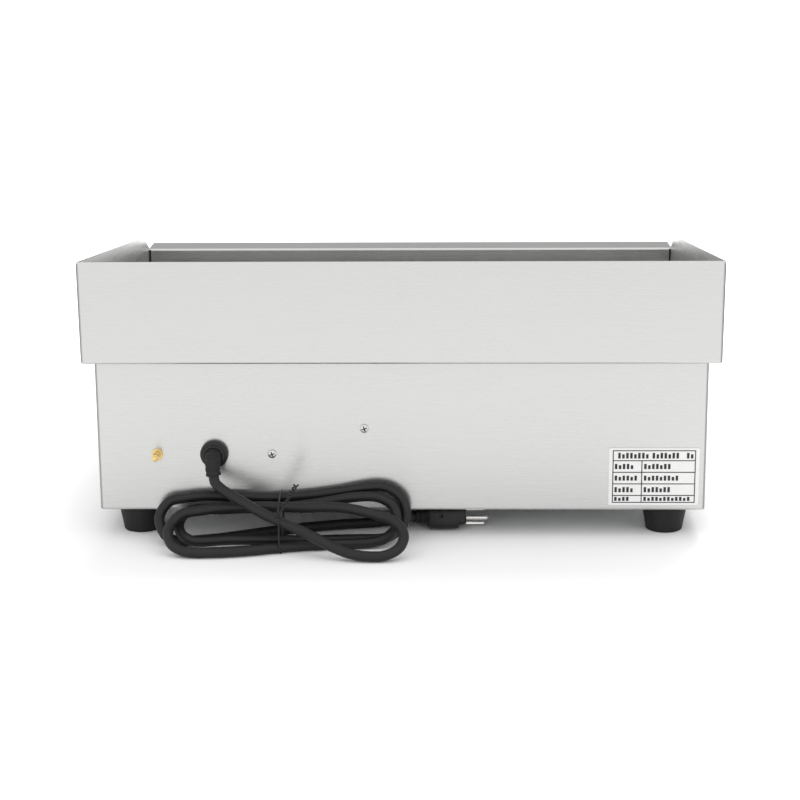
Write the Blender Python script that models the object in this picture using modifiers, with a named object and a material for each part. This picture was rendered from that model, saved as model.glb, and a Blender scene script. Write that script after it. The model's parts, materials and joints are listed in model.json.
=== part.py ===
"""Countertop electric griddle, seen as an assembly of separate pieces.

Metres, +Z up.  The front (knob and grease drawer) faces -Y, the rear panel with
the supply cord faces +Y.  The origin is under the middle of the appliance, on
the surface it stands on.
"""

import math

import bmesh
import bpy
from mathutils import Matrix, Vector

# ---------------------------------------------------------------- driving sizes
TRAY_WIDTH = 0.555          # splash guard, outside, left to right
RIM_Z = 0.250               # top edge of the rear splash guard
TRAY_DEPTH = 0.450          # rear of the guard to the front of the ledge
KNOB_REACH = 0.020          # the knob's front, ahead of the ledge's
TRAY_BOTTOM_Z = 0.160       # lower edge of the guard all round
FOOT_HEIGHT = 0.025         # the body hangs this far above the table
BODY_INSET = 0.010          # body set in from the guard on all four sides

LEDGE_RISE = 0.029          # flat ledge at the front, above the guard's lower edge
LEDGE_WIDTH = 0.038         # front to back
CHEEK_DEPTH = 0.375         # how far forward the cheek's long slope runs
CHEEK_RISE = 0.018          # the cheek's clipped corner, above the ledge

SHEET = 0.0012              # guard and ledge sheet
SKIN = 0.0010               # body sheet
GAP = 0.0003                # air between pieces that touch
TRAY_FLANGE = 0.022         # inward flange that the plate rests on
BEND = 0.0025               # outside radius of a folded corner

PLATE_THICKNESS = 0.008
PLATE_MARGIN = 0.0015       # plate to guard, left, right and rear
GUTTER_WIDTH = 0.0478
GUTTER_DROP = 0.022         # gutter floor below the guard's lower edge
PLATE_OVERHANG = 0.004      # how far the plate's front edge hangs over the gutter

DRAIN_INSET = 0.1075        # drain hole and drawer, in from the body's left side
DRAIN_RADIUS = 0.0095
SPOUT_WALL = 0.0012
SPOUT_HEADROOM = 0.0115     # spout's end above the drawer

DRAWER_WIDTH = 0.148
DRAWER_DEPTH = 0.130
DRAWER_LIFT = 0.0135        # drawer floor above the body's lower edge
DRAWER_HEIGHT = 0.050
DRAWER_WALL = 0.0008
DRAWER_FRONT_MARGIN = 0.010
DRAWER_CLEARANCE = 0.0015   # drawer to the sides of its opening
HANDLE_LENGTH = 0.084
HANDLE_REACH = 0.021
HANDLE_RADIUS = 0.0030

KNOB_INSET = 0.1025         # in from the body's right side
KNOB_Z = 0.095
KNOB_RADIUS = 0.0230
KNOB_STANDOFF = 0.0020      # panel face to the back of the knob
SHAFT_RADIUS = 0.0030
SHAFT_CLEARANCE = 0.0004
LAMP_OFFSETS = (0.061, 0.091)   # left of the knob
LAMP_Z = 0.112
LAMP_RADIUS = 0.0050

REAR_ROW_Z = 0.0762         # stud, gland and lower screw share this height
STUD_INSET = 0.0521         # these four are in from the body's right side
GLAND_INSET = 0.1030
LOW_SCREW_INSET = 0.1538
HIGH_SCREW_INSET = 0.2353
LOW_SCREW_Z = 0.0769
HIGH_SCREW_Z = 0.1000
LABEL_INSET = 0.0456        # label centre, in from the body's left side
LABEL_Z = 0.0562
LABEL_SIZE = (0.079, 0.052)

FOOT_X_INSET = 0.0325       # foot centre to the side of the body
FOOT_Y_INSET = 0.0280       # foot centre to the front or rear of the body
FOOT_TOP_RADIUS = 0.0210
FOOT_BOTTOM_RADIUS = 0.0165

CORD_RADIUS = 0.0046
TIE_RADIUS = 0.0008
TIE_X = 0.105

# ---------------------------------------------------------------- worked out
HALF_TRAY = TRAY_WIDTH / 2
OVERALL_DEPTH = TRAY_DEPTH + KNOB_REACH
REAR_Y = OVERALL_DEPTH / 2
KNOB_FRONT_Y = -OVERALL_DEPTH / 2
LEDGE_FRONT_Y = REAR_Y - TRAY_DEPTH
LEDGE_REAR_Y = LEDGE_FRONT_Y + LEDGE_WIDTH
SEAM_Y = LEDGE_REAR_Y + BEND             # ledge in front of it, cheeks and gutter behind
LEDGE_Z = TRAY_BOTTOM_Z + LEDGE_RISE
CHEEK_Z = LEDGE_Z + CHEEK_RISE
HALF_BODY = HALF_TRAY - BODY_INSET
PANEL_REAR_Y = REAR_Y - BODY_INSET
PANEL_FRONT_Y = LEDGE_FRONT_Y + BODY_INSET
BODY_TOP_Z = TRAY_BOTTOM_Z - GAP
FLANGE_TOP_Z = TRAY_BOTTOM_Z + SHEET
PLATE_Z = FLANGE_TOP_Z + GAP
PLATE_TOP_Z = PLATE_Z + PLATE_THICKNESS
HALF_OPENING = HALF_TRAY - SHEET - TRAY_FLANGE
GUTTER_REAR_Y = SEAM_Y + GUTTER_WIDTH
GUTTER_FLOOR_Z = TRAY_BOTTOM_Z - GUTTER_DROP
PLATE_FRONT_Y = GUTTER_REAR_Y - SHEET - PLATE_OVERHANG
PLATE_REAR_Y = REAR_Y - SHEET - PLATE_MARGIN
PANEL_INNER_Y = PANEL_REAR_Y - SKIN      # inside face of the rear panel
PANEL_BACK_Y = PANEL_FRONT_Y + SHEET     # inside face of the control panel
BASE_Z = FOOT_HEIGHT + GAP
DRAWER_FLOOR_Z = FOOT_HEIGHT + DRAWER_LIFT
DRAWER_TOP_Z = DRAWER_FLOOR_Z + DRAWER_HEIGHT
SPOUT_END_Z = DRAWER_TOP_Z + SPOUT_HEADROOM
DRAIN_X = -HALF_BODY + DRAIN_INSET
KNOB_X = HALF_BODY - KNOB_INSET
LAMP_XS = [KNOB_X - offset for offset in LAMP_OFFSETS]
STUD_X = HALF_BODY - STUD_INSET
GLAND_X = HALF_BODY - GLAND_INSET
LOW_SCREW = (HALF_BODY - LOW_SCREW_INSET, LOW_SCREW_Z)
HIGH_SCREW = (HALF_BODY - HIGH_SCREW_INSET, HIGH_SCREW_Z)
LABEL_CENTRE = (-HALF_BODY + LABEL_INSET, LABEL_Z)
HEADROOM = 0.05                          # cutters reach this far past the metal


# ---------------------------------------------------------------- helpers
def collection(name, hidden=False):
    found = bpy.data.collections.new(name)
    bpy.context.scene.collection.children.link(found)
    found.hide_render = hidden
    return found


def finish(name, colour, roughness, metallic=0.0):
    """A Principled material."""
    made = bpy.data.materials.new(name)
    made.use_nodes = True
    shader = made.node_tree.nodes["Principled BSDF"]
    shader.inputs["Base Color"].default_value = (*colour, 1.0)
    shader.inputs["Roughness"].default_value = roughness
    shader.inputs["Metallic"].default_value = metallic
    return made


def place(name, mesh, where, material, location=(0, 0, 0), rotation=(0, 0, 0)):
    made = bpy.data.objects.new(name, mesh)
    made.location = location
    made.rotation_euler = rotation
    if material:
        mesh.materials.append(material)
    where.objects.link(made)
    return made


def mesh_from(bm, name):
    bmesh.ops.recalc_face_normals(bm, faces=bm.faces)
    mesh = bpy.data.meshes.new(name)
    bm.to_mesh(mesh)
    bm.free()
    return mesh


def block_mesh(name, size, radius=0.0, segments=2, keep=lambda edge: True):
    """A box about its own centre; the edges that keep() picks are rounded."""
    bm = bmesh.new()
    bmesh.ops.create_cube(bm, size=1.0)
    bmesh.ops.scale(bm, vec=size, verts=bm.verts)
    if radius:
        chosen = [edge for edge in bm.edges if keep(edge)]
        bmesh.ops.bevel(bm, geom=chosen, offset=radius, segments=segments, profile=0.5, affect="EDGES")
    return mesh_from(bm, name)


def block(name, low, high, material, radius=0.0, segments=2, keep=lambda edge: True, where=None):
    """A box between two corners, with its origin at its centre."""
    low, high = Vector(low), Vector(high)
    mesh = block_mesh(name, high - low, radius, segments, keep)
    return place(name, mesh, where or parts, material, (low + high) / 2)


def rod(name, radius, start, end, material, segments=24, where=None):
    """A cylinder or prism from start to end, with its origin halfway."""
    start, end = Vector(start), Vector(end)
    bm = bmesh.new()
    length = (end - start).length
    bmesh.ops.create_cone(
        bm, cap_ends=True, segments=segments, radius1=radius, radius2=radius, depth=length
    )
    mesh = mesh_from(bm, name)
    mesh.shade_smooth()
    mesh.set_sharp_from_angle(angle=math.radians(40))
    turn = (end - start).to_track_quat("Z", "Y").to_euler()
    return place(name, mesh, where or parts, material, (start + end) / 2, turn)


def turned(name, profile, material, location, rotation=(0, 0, 0), steps=24, closed=False):
    """A profile of (radius, height) points, outer side first and downwards, spun about Z."""
    bm = bmesh.new()
    ring = [bm.verts.new((radius, 0, height)) for radius, height in profile]
    for first, second in zip(ring, ring[1:]):
        bm.edges.new((first, second))
    if closed:
        bm.edges.new((ring[-1], ring[0]))
    mesh = bpy.data.meshes.new(name)
    bm.to_mesh(mesh)
    bm.free()
    made = place(name, mesh, parts, material, location, rotation)
    screw = made.modifiers.new("spin", "SCREW")
    screw.axis = "Z"
    screw.steps = steps
    screw.render_steps = steps
    screw.use_merge_vertices = True
    screw.merge_threshold = 0.00002
    screw.use_smooth_shade = False
    return made


def prism(name, outline, low_x, high_x, where):
    """An outline of (y, z) points, extruded along X."""
    bm = bmesh.new()
    face = bm.faces.new([bm.verts.new((low_x, y, z)) for y, z in outline])
    raised = bmesh.ops.extrude_face_region(bm, geom=[face])["geom"]
    moved = [item for item in raised if isinstance(item, bmesh.types.BMVert)]
    bmesh.ops.translate(bm, verts=moved, vec=(high_x - low_x, 0, 0))
    return place(name, mesh_from(bm, name), where, None)


def cut(target, cutter, operation="DIFFERENCE"):
    """Cuts (or joins) one solid with another, which is kept as a wire guide."""
    cutter.hide_render = True
    cutter.display_type = "WIRE"
    step = target.modifiers.new(operation.lower(), "BOOLEAN")
    step.operation = operation
    step.solver = "EXACT"
    step.object = cutter
    return target


def cut_block(target, low, high, radius=0.0, keep=lambda edge: True, segments=2):
    name = f"cut_{target.name}_{len(target.modifiers)}"
    return cut(target, block(name, low, high, None, radius, segments, keep, where=cutters))


def cut_rod(target, radius, start, end, segments=24):
    name = f"cut_{target.name}_{len(target.modifiers)}"
    return cut(target, rod(name, radius, start, end, None, segments, where=cutters))


def join_block(target, low, high, radius=0.0, keep=lambda edge: True):
    name = f"add_{target.name}_{len(target.modifiers)}"
    return cut(target, block(name, low, high, None, radius, 2, keep, where=cutters), "UNION")


def smooth_route(points, spacing):
    """Points a set distance apart on a smooth curve through the given points."""
    knots = [Vector(p) for p in points]
    ends = [2 * knots[0] - knots[1], *knots, 2 * knots[-1] - knots[-2]]
    fine = []
    for before, here, there, after in zip(ends, ends[1:], ends[2:], ends[3:]):
        for step in range(12):
            t = step / 12
            pull = (there - before) * 0.5, (after - here) * 0.5
            fine.append(
                here * (2 * t**3 - 3 * t**2 + 1)
                + pull[0] * (t**3 - 2 * t**2 + t)
                + there * (3 * t**2 - 2 * t**3)
                + pull[1] * (t**3 - t**2)
            )
    fine.append(knots[-1])
    lengths = [0.0]
    for first, second in zip(fine, fine[1:]):
        lengths.append(lengths[-1] + (second - first).length)
    count = max(2, round(lengths[-1] / spacing))
    route, index = [], 0
    for number in range(count + 1):
        goal = lengths[-1] * number / count
        while index < len(lengths) - 2 and lengths[index + 1] < goal:
            index += 1
        share = (goal - lengths[index]) / max(lengths[index + 1] - lengths[index], 1e-9)
        route.append(fine[index].lerp(fine[index + 1], min(share, 1.0)))
    return route


def tube(name, points, radius, material, resolution=2, widths=None, cyclic=False):
    """A round wire along the points, as a curve with filled ends."""
    curve = bpy.data.curves.new(name, "CURVE")
    curve.dimensions = "3D"
    curve.bevel_depth = radius
    curve.bevel_resolution = resolution
    curve.use_fill_caps = True
    spline = curve.splines.new("POLY")
    spline.points.add(len(points) - 1)
    for index, (point, made) in enumerate(zip(points, spline.points)):
        made.co = (*point, 1)
        made.radius = widths[index] if widths else 1.0
    spline.use_cyclic_u = cyclic
    curve.materials.append(material)
    made = bpy.data.objects.new(name, curve)
    parts.objects.link(made)
    return made


def upright(edge):
    """True for an edge that runs along Z."""
    first, second = (vert.co for vert in edge.verts)
    return abs(first.x - second.x) < 1e-6 and abs(first.y - second.y) < 1e-6


def outside_fold(edge):
    """True for the upright and the lower edges of a pan."""
    return upright(edge) or all(vert.co.z < 0 for vert in edge.verts)


def along_y(edge):
    first, second = (vert.co for vert in edge.verts)
    return abs(first.x - second.x) < 1e-6 and abs(first.z - second.z) < 1e-6


TO_REAR = (-math.pi / 2, 0, 0)    # turns a piece's +Z towards +Y
TO_FRONT = (math.pi / 2, 0, 0)    # turns a piece's +Z towards -Y

# ---------------------------------------------------------------- set-up
for old in list(bpy.data.objects):
    bpy.data.objects.remove(old)
parts = collection("electric_griddle")
cutters = collection("cutters", hidden=True)

STEEL = finish("brushed_steel", (0.72, 0.72, 0.71), 0.32, 1.0)
INNER_STEEL = finish("galvanised_sheet", (0.55, 0.56, 0.57), 0.5, 1.0)
PLATE = finish("griddle_plate_steel", (0.33, 0.33, 0.34), 0.45, 1.0)
SHEATH = finish("element_sheath", (0.25, 0.24, 0.22), 0.45, 1.0)
WOOL = finish("ceramic_wool", (0.85, 0.84, 0.80), 0.95)
BLACK = finish("black_moulding", (0.03, 0.03, 0.03), 0.45)
RUBBER = finish("black_rubber", (0.03, 0.03, 0.03), 0.8)
CORD = finish("cord_jacket", (0.035, 0.035, 0.04), 0.5)
BRASS = finish("brass", (0.80, 0.58, 0.25), 0.35, 1.0)
ZINC = finish("zinc_plated", (0.62, 0.62, 0.60), 0.4, 1.0)
NICKEL = finish("nickel_plated", (0.70, 0.69, 0.66), 0.3, 1.0)
CERAMIC = finish("ceramic", (0.88, 0.86, 0.80), 0.6)
COPPER = finish("copper", (0.75, 0.42, 0.28), 0.35, 1.0)
PAPER = finish("label_film", (0.92, 0.92, 0.90), 0.5)
RED_LENS = finish("red_lens", (0.65, 0.03, 0.02), 0.2)
GREEN_LENS = finish("green_lens", (0.05, 0.45, 0.10), 0.2)
LEAD = finish("wire_insulation", (0.75, 0.75, 0.72), 0.6)


# ---------------------------------------------------------------- tray
LEDGE_FOLD = 0.002          # outside radius of the ledge's front fold
GUTTER_FOLD = 0.002
SPOUT_COLLAR = 0.005        # width of the spout's welded collar
PLATE_CHAMFER = 0.001
DRAIN_Y = (SEAM_Y + GUTTER_REAR_Y) / 2


def splash_guard():
    """Three folded walls and the inward flange, from one sheet."""
    guard = block(
        "splash_guard",
        (-HALF_TRAY, LEDGE_REAR_Y, TRAY_BOTTOM_Z),
        (HALF_TRAY, REAR_Y, RIM_Z),
        STEEL,
        BEND,
        3,
        outside_fold,
    )
    cut_block(
        guard,
        (-HALF_TRAY - HEADROOM, LEDGE_REAR_Y - HEADROOM, TRAY_BOTTOM_Z - HEADROOM),
        (HALF_TRAY + HEADROOM, SEAM_Y, RIM_Z + HEADROOM),
    )
    inner_radius = BEND - SHEET
    cut_block(
        guard,
        (-HALF_TRAY + SHEET, LEDGE_REAR_Y - HEADROOM, FLANGE_TOP_Z),
        (HALF_TRAY - SHEET, REAR_Y - SHEET, RIM_Z + HEADROOM),
        inner_radius,
        outside_fold,
    )
    rear_flange_y = REAR_Y - SHEET - TRAY_FLANGE
    cut_block(
        guard,
        (-HALF_OPENING, LEDGE_REAR_Y - HEADROOM, TRAY_BOTTOM_Z - HEADROOM),
        (HALF_OPENING, rear_flange_y, FLANGE_TOP_Z + HEADROOM),
    )
    cheek_y = REAR_Y - CHEEK_DEPTH
    slope = [
        (REAR_Y, RIM_Z),
        (cheek_y, CHEEK_Z),
        (LEDGE_REAR_Y, LEDGE_Z),
        (LEDGE_REAR_Y - HEADROOM, LEDGE_Z),
        (LEDGE_REAR_Y - HEADROOM, RIM_Z + HEADROOM),
        (REAR_Y, RIM_Z + HEADROOM),
    ]
    return cut(guard, prism("cut_cheeks", slope, -HALF_TRAY - HEADROOM, HALF_TRAY + HEADROOM, cutters))


def front_ledge():
    """The folded ledge: a long cover, open below, that closes the tray's front."""
    rear_y = SEAM_Y - GAP
    ledge = block(
        "front_ledge",
        (-HALF_TRAY, LEDGE_FRONT_Y, TRAY_BOTTOM_Z),
        (HALF_TRAY, rear_y, LEDGE_Z),
        STEEL,
        LEDGE_FOLD,
        2,
        lambda edge: all(vert.co.z > 0 and vert.co.y < 0 for vert in edge.verts),
    )
    return cut_block(
        ledge,
        (-HALF_TRAY + SHEET, LEDGE_FRONT_Y + SHEET, TRAY_BOTTOM_Z - HEADROOM),
        (HALF_TRAY - SHEET, rear_y - SHEET, LEDGE_Z - SHEET),
    )


def grease_gutter():
    """The trough in front of the plate, with the drain hole."""
    gutter = block(
        "grease_gutter",
        (-HALF_OPENING + GAP, SEAM_Y, GUTTER_FLOOR_Z),
        (HALF_OPENING - GAP, GUTTER_REAR_Y, FLANGE_TOP_Z),
        STEEL,
        GUTTER_FOLD,
        2,
        lambda edge: all(vert.co.z < 0 for vert in edge.verts),
    )
    cut_block(
        gutter,
        (-HALF_OPENING + GAP + SHEET, SEAM_Y + SHEET, GUTTER_FLOOR_Z + SHEET),
        (HALF_OPENING - GAP - SHEET, GUTTER_REAR_Y - SHEET, FLANGE_TOP_Z + HEADROOM),
    )
    return cut_rod(
        gutter,
        DRAIN_RADIUS,
        (DRAIN_X, DRAIN_Y, GUTTER_FLOOR_Z - HEADROOM / 5),
        (DRAIN_X, DRAIN_Y, GUTTER_FLOOR_Z + HEADROOM / 5),
    )


def drain_spout():
    """A flanged tube under the drain hole."""
    top_z = GUTTER_FLOOR_Z - GAP
    outer = DRAIN_RADIUS + SPOUT_WALL
    collar = outer + SPOUT_COLLAR
    profile = [
        (DRAIN_RADIUS, top_z),
        (collar, top_z),
        (collar, top_z - SPOUT_WALL),
        (outer, top_z - SPOUT_WALL),
        (outer, SPOUT_END_Z),
        (DRAIN_RADIUS, SPOUT_END_Z),
    ]
    return turned("drain_spout", profile, STEEL, (DRAIN_X, DRAIN_Y, 0), closed=True)


def griddle_plate():
    half = HALF_TRAY - SHEET - PLATE_MARGIN
    return block(
        "griddle_plate",
        (-half, PLATE_FRONT_Y, PLATE_Z),
        (half, PLATE_REAR_Y, PLATE_TOP_Z),
        PLATE,
        PLATE_CHAMFER,
        1,
    )


splash_guard()
front_ledge()
grease_gutter()
drain_spout()
griddle_plate()

# ---------------------------------------------------------------- heating
ELEMENT_RADIUS = 0.0040
ELEMENT_Z = PLATE_Z - GAP - ELEMENT_RADIUS
ELEMENT_LEGS = 4
ELEMENT_INNER_X = 0.030
ELEMENT_SIDE_MARGIN = 0.0383     # outermost leg to the guard's flange
ELEMENT_PITCH = (HALF_OPENING - ELEMENT_SIDE_MARGIN - ELEMENT_INNER_X) / (ELEMENT_LEGS - 1)
ELEMENT_DROP = 0.012             # radius of the turn down to a terminal
PAN_CLEARANCE = 0.004
PAN_HALF = HALF_BODY - SKIN - PAN_CLEARANCE
PAN_FRONT_Y = GUTTER_REAR_Y + PAN_CLEARANCE
PAN_REAR_Y = PANEL_INNER_Y - PAN_CLEARANCE
PAN_FLOOR_Z = TRAY_BOTTOM_Z - 0.038
PAN_WALL = 0.0008
TERMINAL_Y = PAN_REAR_Y - 0.024
TERMINAL_Z = PAN_FLOOR_Z - 0.014
ELEMENT_FRONT_Y = PLATE_FRONT_Y + 0.0519     # centre of the front turns
ELEMENT_REAR_Y = TERMINAL_Y - 0.026          # rear of the rear turns
CLAMP_THICKNESS = 0.003
CLAMP_HALF_WIDTH = 0.010
CLAMP_END_MARGIN = 0.020
CLAMP_YS = (ELEMENT_FRONT_Y + 0.080, ELEMENT_REAR_Y - 0.060)
WOOL_THICKNESS = 0.022
WOOL_CLEARANCE = 0.001
BULB_HOLE_Y = CLAMP_YS[0] - 0.024
TERMINAL_HOLE = 0.007


def element_route(side):
    """A serpentine of four legs whose two ends turn down to the terminals."""
    radius = ELEMENT_PITCH / 2
    first_x = ELEMENT_INNER_X
    last_x = first_x + ELEMENT_PITCH * (ELEMENT_LEGS - 1)
    drop = ELEMENT_DROP
    points = [(first_x, TERMINAL_Y, TERMINAL_Z), (first_x, TERMINAL_Y, ELEMENT_Z - drop)]
    turn = [
        (TERMINAL_Y - drop * (1 - math.cos(angle)), ELEMENT_Z - drop * (1 - math.sin(angle)))
        for angle in (math.pi / 6, math.pi / 3, math.pi / 2)
    ]
    points += [(first_x, y, z) for y, z in turn]
    for leg in range(ELEMENT_LEGS - 1):
        x = first_x + ELEMENT_PITCH * leg + radius
        at_front = leg % 2 == 0
        end_y = ELEMENT_FRONT_Y if at_front else ELEMENT_REAR_Y - radius
        sign = -1 if at_front else 1
        for step in range(9):
            angle = math.pi * step / 8
            y = end_y + sign * radius * math.sin(angle)
            points.append((x - radius * math.cos(angle), y, ELEMENT_Z))
    points += [(last_x, y, z) for y, z in reversed(turn)]
    points += [(last_x, TERMINAL_Y, ELEMENT_Z - drop), (last_x, TERMINAL_Y, TERMINAL_Z)]
    return [(side * x, y, z) for x, y, z in points]


def terminal_xs():
    last_x = ELEMENT_INNER_X + ELEMENT_PITCH * (ELEMENT_LEGS - 1)
    return [side * x for side in (-1, 1) for x in (ELEMENT_INNER_X, last_x)]


def pierce_for_terminals(target, low_z, high_z):
    """Round holes for the element ends and the sensor's capillary."""
    for x in terminal_xs():
        cut_rod(target, TERMINAL_HOLE, (x, TERMINAL_Y, low_z), (x, TERMINAL_Y, high_z), 12)
    cut_rod(target, TERMINAL_HOLE, (0, BULB_HOLE_Y, low_z), (0, BULB_HOLE_Y, high_z), 12)


def heat_shield_pan():
    pan = block(
        "heat_shield_pan",
        (-PAN_HALF, PAN_FRONT_Y, PAN_FLOOR_Z),
        (PAN_HALF, PAN_REAR_Y, BODY_TOP_Z - GAP),
        INNER_STEEL,
    )
    cut_block(
        pan,
        (-PAN_HALF + PAN_WALL, PAN_FRONT_Y + PAN_WALL, PAN_FLOOR_Z + PAN_WALL),
        (PAN_HALF - PAN_WALL, PAN_REAR_Y - PAN_WALL, BODY_TOP_Z + HEADROOM),
    )
    pierce_for_terminals(pan, PAN_FLOOR_Z - HEADROOM / 10, PAN_FLOOR_Z + HEADROOM / 10)
    return pan


def insulation_blanket():
    low_z = PAN_FLOOR_Z + PAN_WALL + GAP
    edge = PAN_WALL + WOOL_CLEARANCE
    blanket = block(
        "insulation_blanket",
        (-PAN_HALF + edge, PAN_FRONT_Y + edge, low_z),
        (PAN_HALF - edge, PAN_REAR_Y - edge, low_z + WOOL_THICKNESS),
        WOOL,
    )
    pierce_for_terminals(blanket, low_z - HEADROOM / 10, low_z + WOOL_THICKNESS + HEADROOM / 10)
    return blanket


tube("heating_element_left", element_route(-1), ELEMENT_RADIUS, SHEATH)
tube("heating_element_right", element_route(1), ELEMENT_RADIUS, SHEATH)
for clamp_name, clamp_y in zip(("element_clamp_front", "element_clamp_rear"), CLAMP_YS):
    clamp_top = ELEMENT_Z - ELEMENT_RADIUS - GAP
    block(
        clamp_name,
        (-PAN_HALF + CLAMP_END_MARGIN, clamp_y - CLAMP_HALF_WIDTH, clamp_top - CLAMP_THICKNESS),
        (PAN_HALF - CLAMP_END_MARGIN, clamp_y + CLAMP_HALF_WIDTH, clamp_top),
        ZINC,
    )
heat_shield_pan()
insulation_blanket()


# ---------------------------------------------------------------- body
DRAWER_X = DRAIN_X
HALF_DRAWER = DRAWER_WIDTH / 2
GLAND_SHANK_RADIUS = 0.0082
STUD_RADIUS = 0.0020
SCREW_RADIUS = 0.0018
HOLE_CLEARANCE = 0.0004


def body_shell():
    """Left side, rear and right side, folded from one sheet."""
    shell = block(
        "body_shell",
        (-HALF_BODY, PANEL_BACK_Y + GAP, FOOT_HEIGHT),
        (HALF_BODY, PANEL_REAR_Y, BODY_TOP_Z),
        STEEL,
        BEND,
        3,
        lambda edge: upright(edge) and edge.verts[0].co.y > 0,
    )
    cut_block(
        shell,
        (-HALF_BODY + SKIN, PANEL_FRONT_Y - HEADROOM, FOOT_HEIGHT - HEADROOM),
        (HALF_BODY - SKIN, PANEL_INNER_Y, BODY_TOP_Z + HEADROOM),
        BEND - SKIN,
        lambda edge: upright(edge) and edge.verts[0].co.y > 0,
    )
    holes = [
        (GLAND_X, REAR_ROW_Z, GLAND_SHANK_RADIUS + HOLE_CLEARANCE),
        (STUD_X, REAR_ROW_Z, STUD_RADIUS + HOLE_CLEARANCE),
        (*LOW_SCREW, SCREW_RADIUS + HOLE_CLEARANCE),
        (*HIGH_SCREW, SCREW_RADIUS + HOLE_CLEARANCE),
    ]
    for x, z, radius in holes:
        cut_rod(shell, radius, (x, PANEL_INNER_Y - 0.005, z), (x, PANEL_REAR_Y + 0.005, z), 16)
    return shell


def control_panel():
    panel = block(
        "control_panel",
        (-HALF_BODY, PANEL_FRONT_Y, FOOT_HEIGHT),
        (HALF_BODY, PANEL_BACK_Y, BODY_TOP_Z),
        STEEL,
    )
    half_opening = HALF_DRAWER + DRAWER_CLEARANCE
    cut_block(
        panel,
        (DRAWER_X - half_opening, PANEL_FRONT_Y - HEADROOM, DRAWER_FLOOR_Z - DRAWER_CLEARANCE),
        (DRAWER_X + half_opening, PANEL_BACK_Y + HEADROOM, DRAWER_TOP_Z + DRAWER_CLEARANCE),
    )
    holes = [(KNOB_X, KNOB_Z, SHAFT_RADIUS + SHAFT_CLEARANCE + 0.001)]
    holes += [(x, LAMP_Z, LAMP_RADIUS + HOLE_CLEARANCE) for x in LAMP_XS]
    for x, z, radius in holes:
        cut_rod(panel, radius, (x, PANEL_FRONT_Y - 0.005, z), (x, PANEL_BACK_Y + 0.005, z), 16)
    return panel


def foot_places():
    foot_x = HALF_BODY - FOOT_X_INSET
    return {
        "front_left": (-foot_x, PANEL_FRONT_Y + FOOT_Y_INSET),
        "front_right": (foot_x, PANEL_FRONT_Y + FOOT_Y_INSET),
        "rear_left": (-foot_x, PANEL_REAR_Y - FOOT_Y_INSET),
        "rear_right": (foot_x, PANEL_REAR_Y - FOOT_Y_INSET),
    }


FOOT_SCREW_RADIUS = 0.0024
FOOT_HEAD_RADIUS = 0.0046
FOOT_RECESS_RADIUS = 0.0075
FOOT_RECESS_Z = FOOT_HEIGHT - 0.0110
VENT_LENGTH = 0.040
VENT_WIDTH = 0.005
VENT_PITCH = 0.018
VENT_FIRST_X = 0.050
VENT_COUNT = 6


def base_panel():
    base = block(
        "base_panel",
        (-HALF_BODY + SKIN + GAP, PANEL_BACK_Y + GAP, BASE_Z),
        (HALF_BODY - SKIN - GAP, PANEL_INNER_Y - GAP, BASE_Z + SKIN),
        INNER_STEEL,
        BEND - SKIN,
        3,
        lambda edge: upright(edge) and edge.verts[0].co.y > 0,
    )
    hole = FOOT_SCREW_RADIUS + HOLE_CLEARANCE
    for x, y in foot_places().values():
        cut_rod(base, hole, (x, y, BASE_Z - 0.005), (x, y, BASE_Z + 0.005), 12)
    for row in range(VENT_COUNT):
        vent_x = VENT_FIRST_X + VENT_PITCH * row
        cut_block(
            base,
            (vent_x, -VENT_LENGTH / 2, BASE_Z - 0.005),
            (vent_x + VENT_WIDTH, VENT_LENGTH / 2, BASE_Z + 0.005),
        )
    return base


def foot(name, x, y):
    """A tapered rubber foot with a recess for its screw."""
    bore = FOOT_SCREW_RADIUS + HOLE_CLEARANCE
    profile = [
        (bore, FOOT_HEIGHT),
        (FOOT_TOP_RADIUS, FOOT_HEIGHT),
        (FOOT_TOP_RADIUS - 0.0002, FOOT_HEIGHT - 0.003),
        (FOOT_BOTTOM_RADIUS, 0.0012),
        (FOOT_BOTTOM_RADIUS - 0.0012, 0.0),
        (FOOT_RECESS_RADIUS, 0.0),
        (FOOT_RECESS_RADIUS, FOOT_RECESS_Z),
        (bore, FOOT_RECESS_Z),
    ]
    return turned(f"foot_{name}", profile, RUBBER, (x, y, 0), closed=True)


def foot_screw(name, x, y):
    head_z = FOOT_RECESS_Z - GAP
    profile = [
        (0, BASE_Z + 0.008),
        (FOOT_SCREW_RADIUS, BASE_Z + 0.008),
        (FOOT_SCREW_RADIUS, head_z),
        (FOOT_HEAD_RADIUS, head_z),
        (FOOT_HEAD_RADIUS, head_z - 0.002),
        (FOOT_HEAD_RADIUS * 0.7, head_z - 0.0032),
        (0, head_z - 0.0032),
    ]
    return turned(f"foot_screw_{name}", profile, ZINC, (x, y, 0), steps=16)


body_shell()
control_panel()
base_panel()
for place_name, (foot_x, foot_y) in foot_places().items():
    foot(place_name, foot_x, foot_y)
    foot_screw(place_name, foot_x, foot_y)

# ---------------------------------------------------------------- controls
THERMOSTAT_FRONT_Y = PANEL_BACK_Y + GAP
THERMOSTAT_DEPTH = 0.030
THERMOSTAT_HALF = 0.022
SHAFT_BORE_DEPTH = 0.010
KNOB_BACK_Y = PANEL_FRONT_Y - KNOB_STANDOFF
KNOB_BORE_DEPTH = 0.014
SKIRT_DEPTH = 0.009
GRIP_HALF_WIDTH = 0.0065
DIAL_THICKNESS = 0.0006
DIAL_RADIUS = 0.0330


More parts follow.
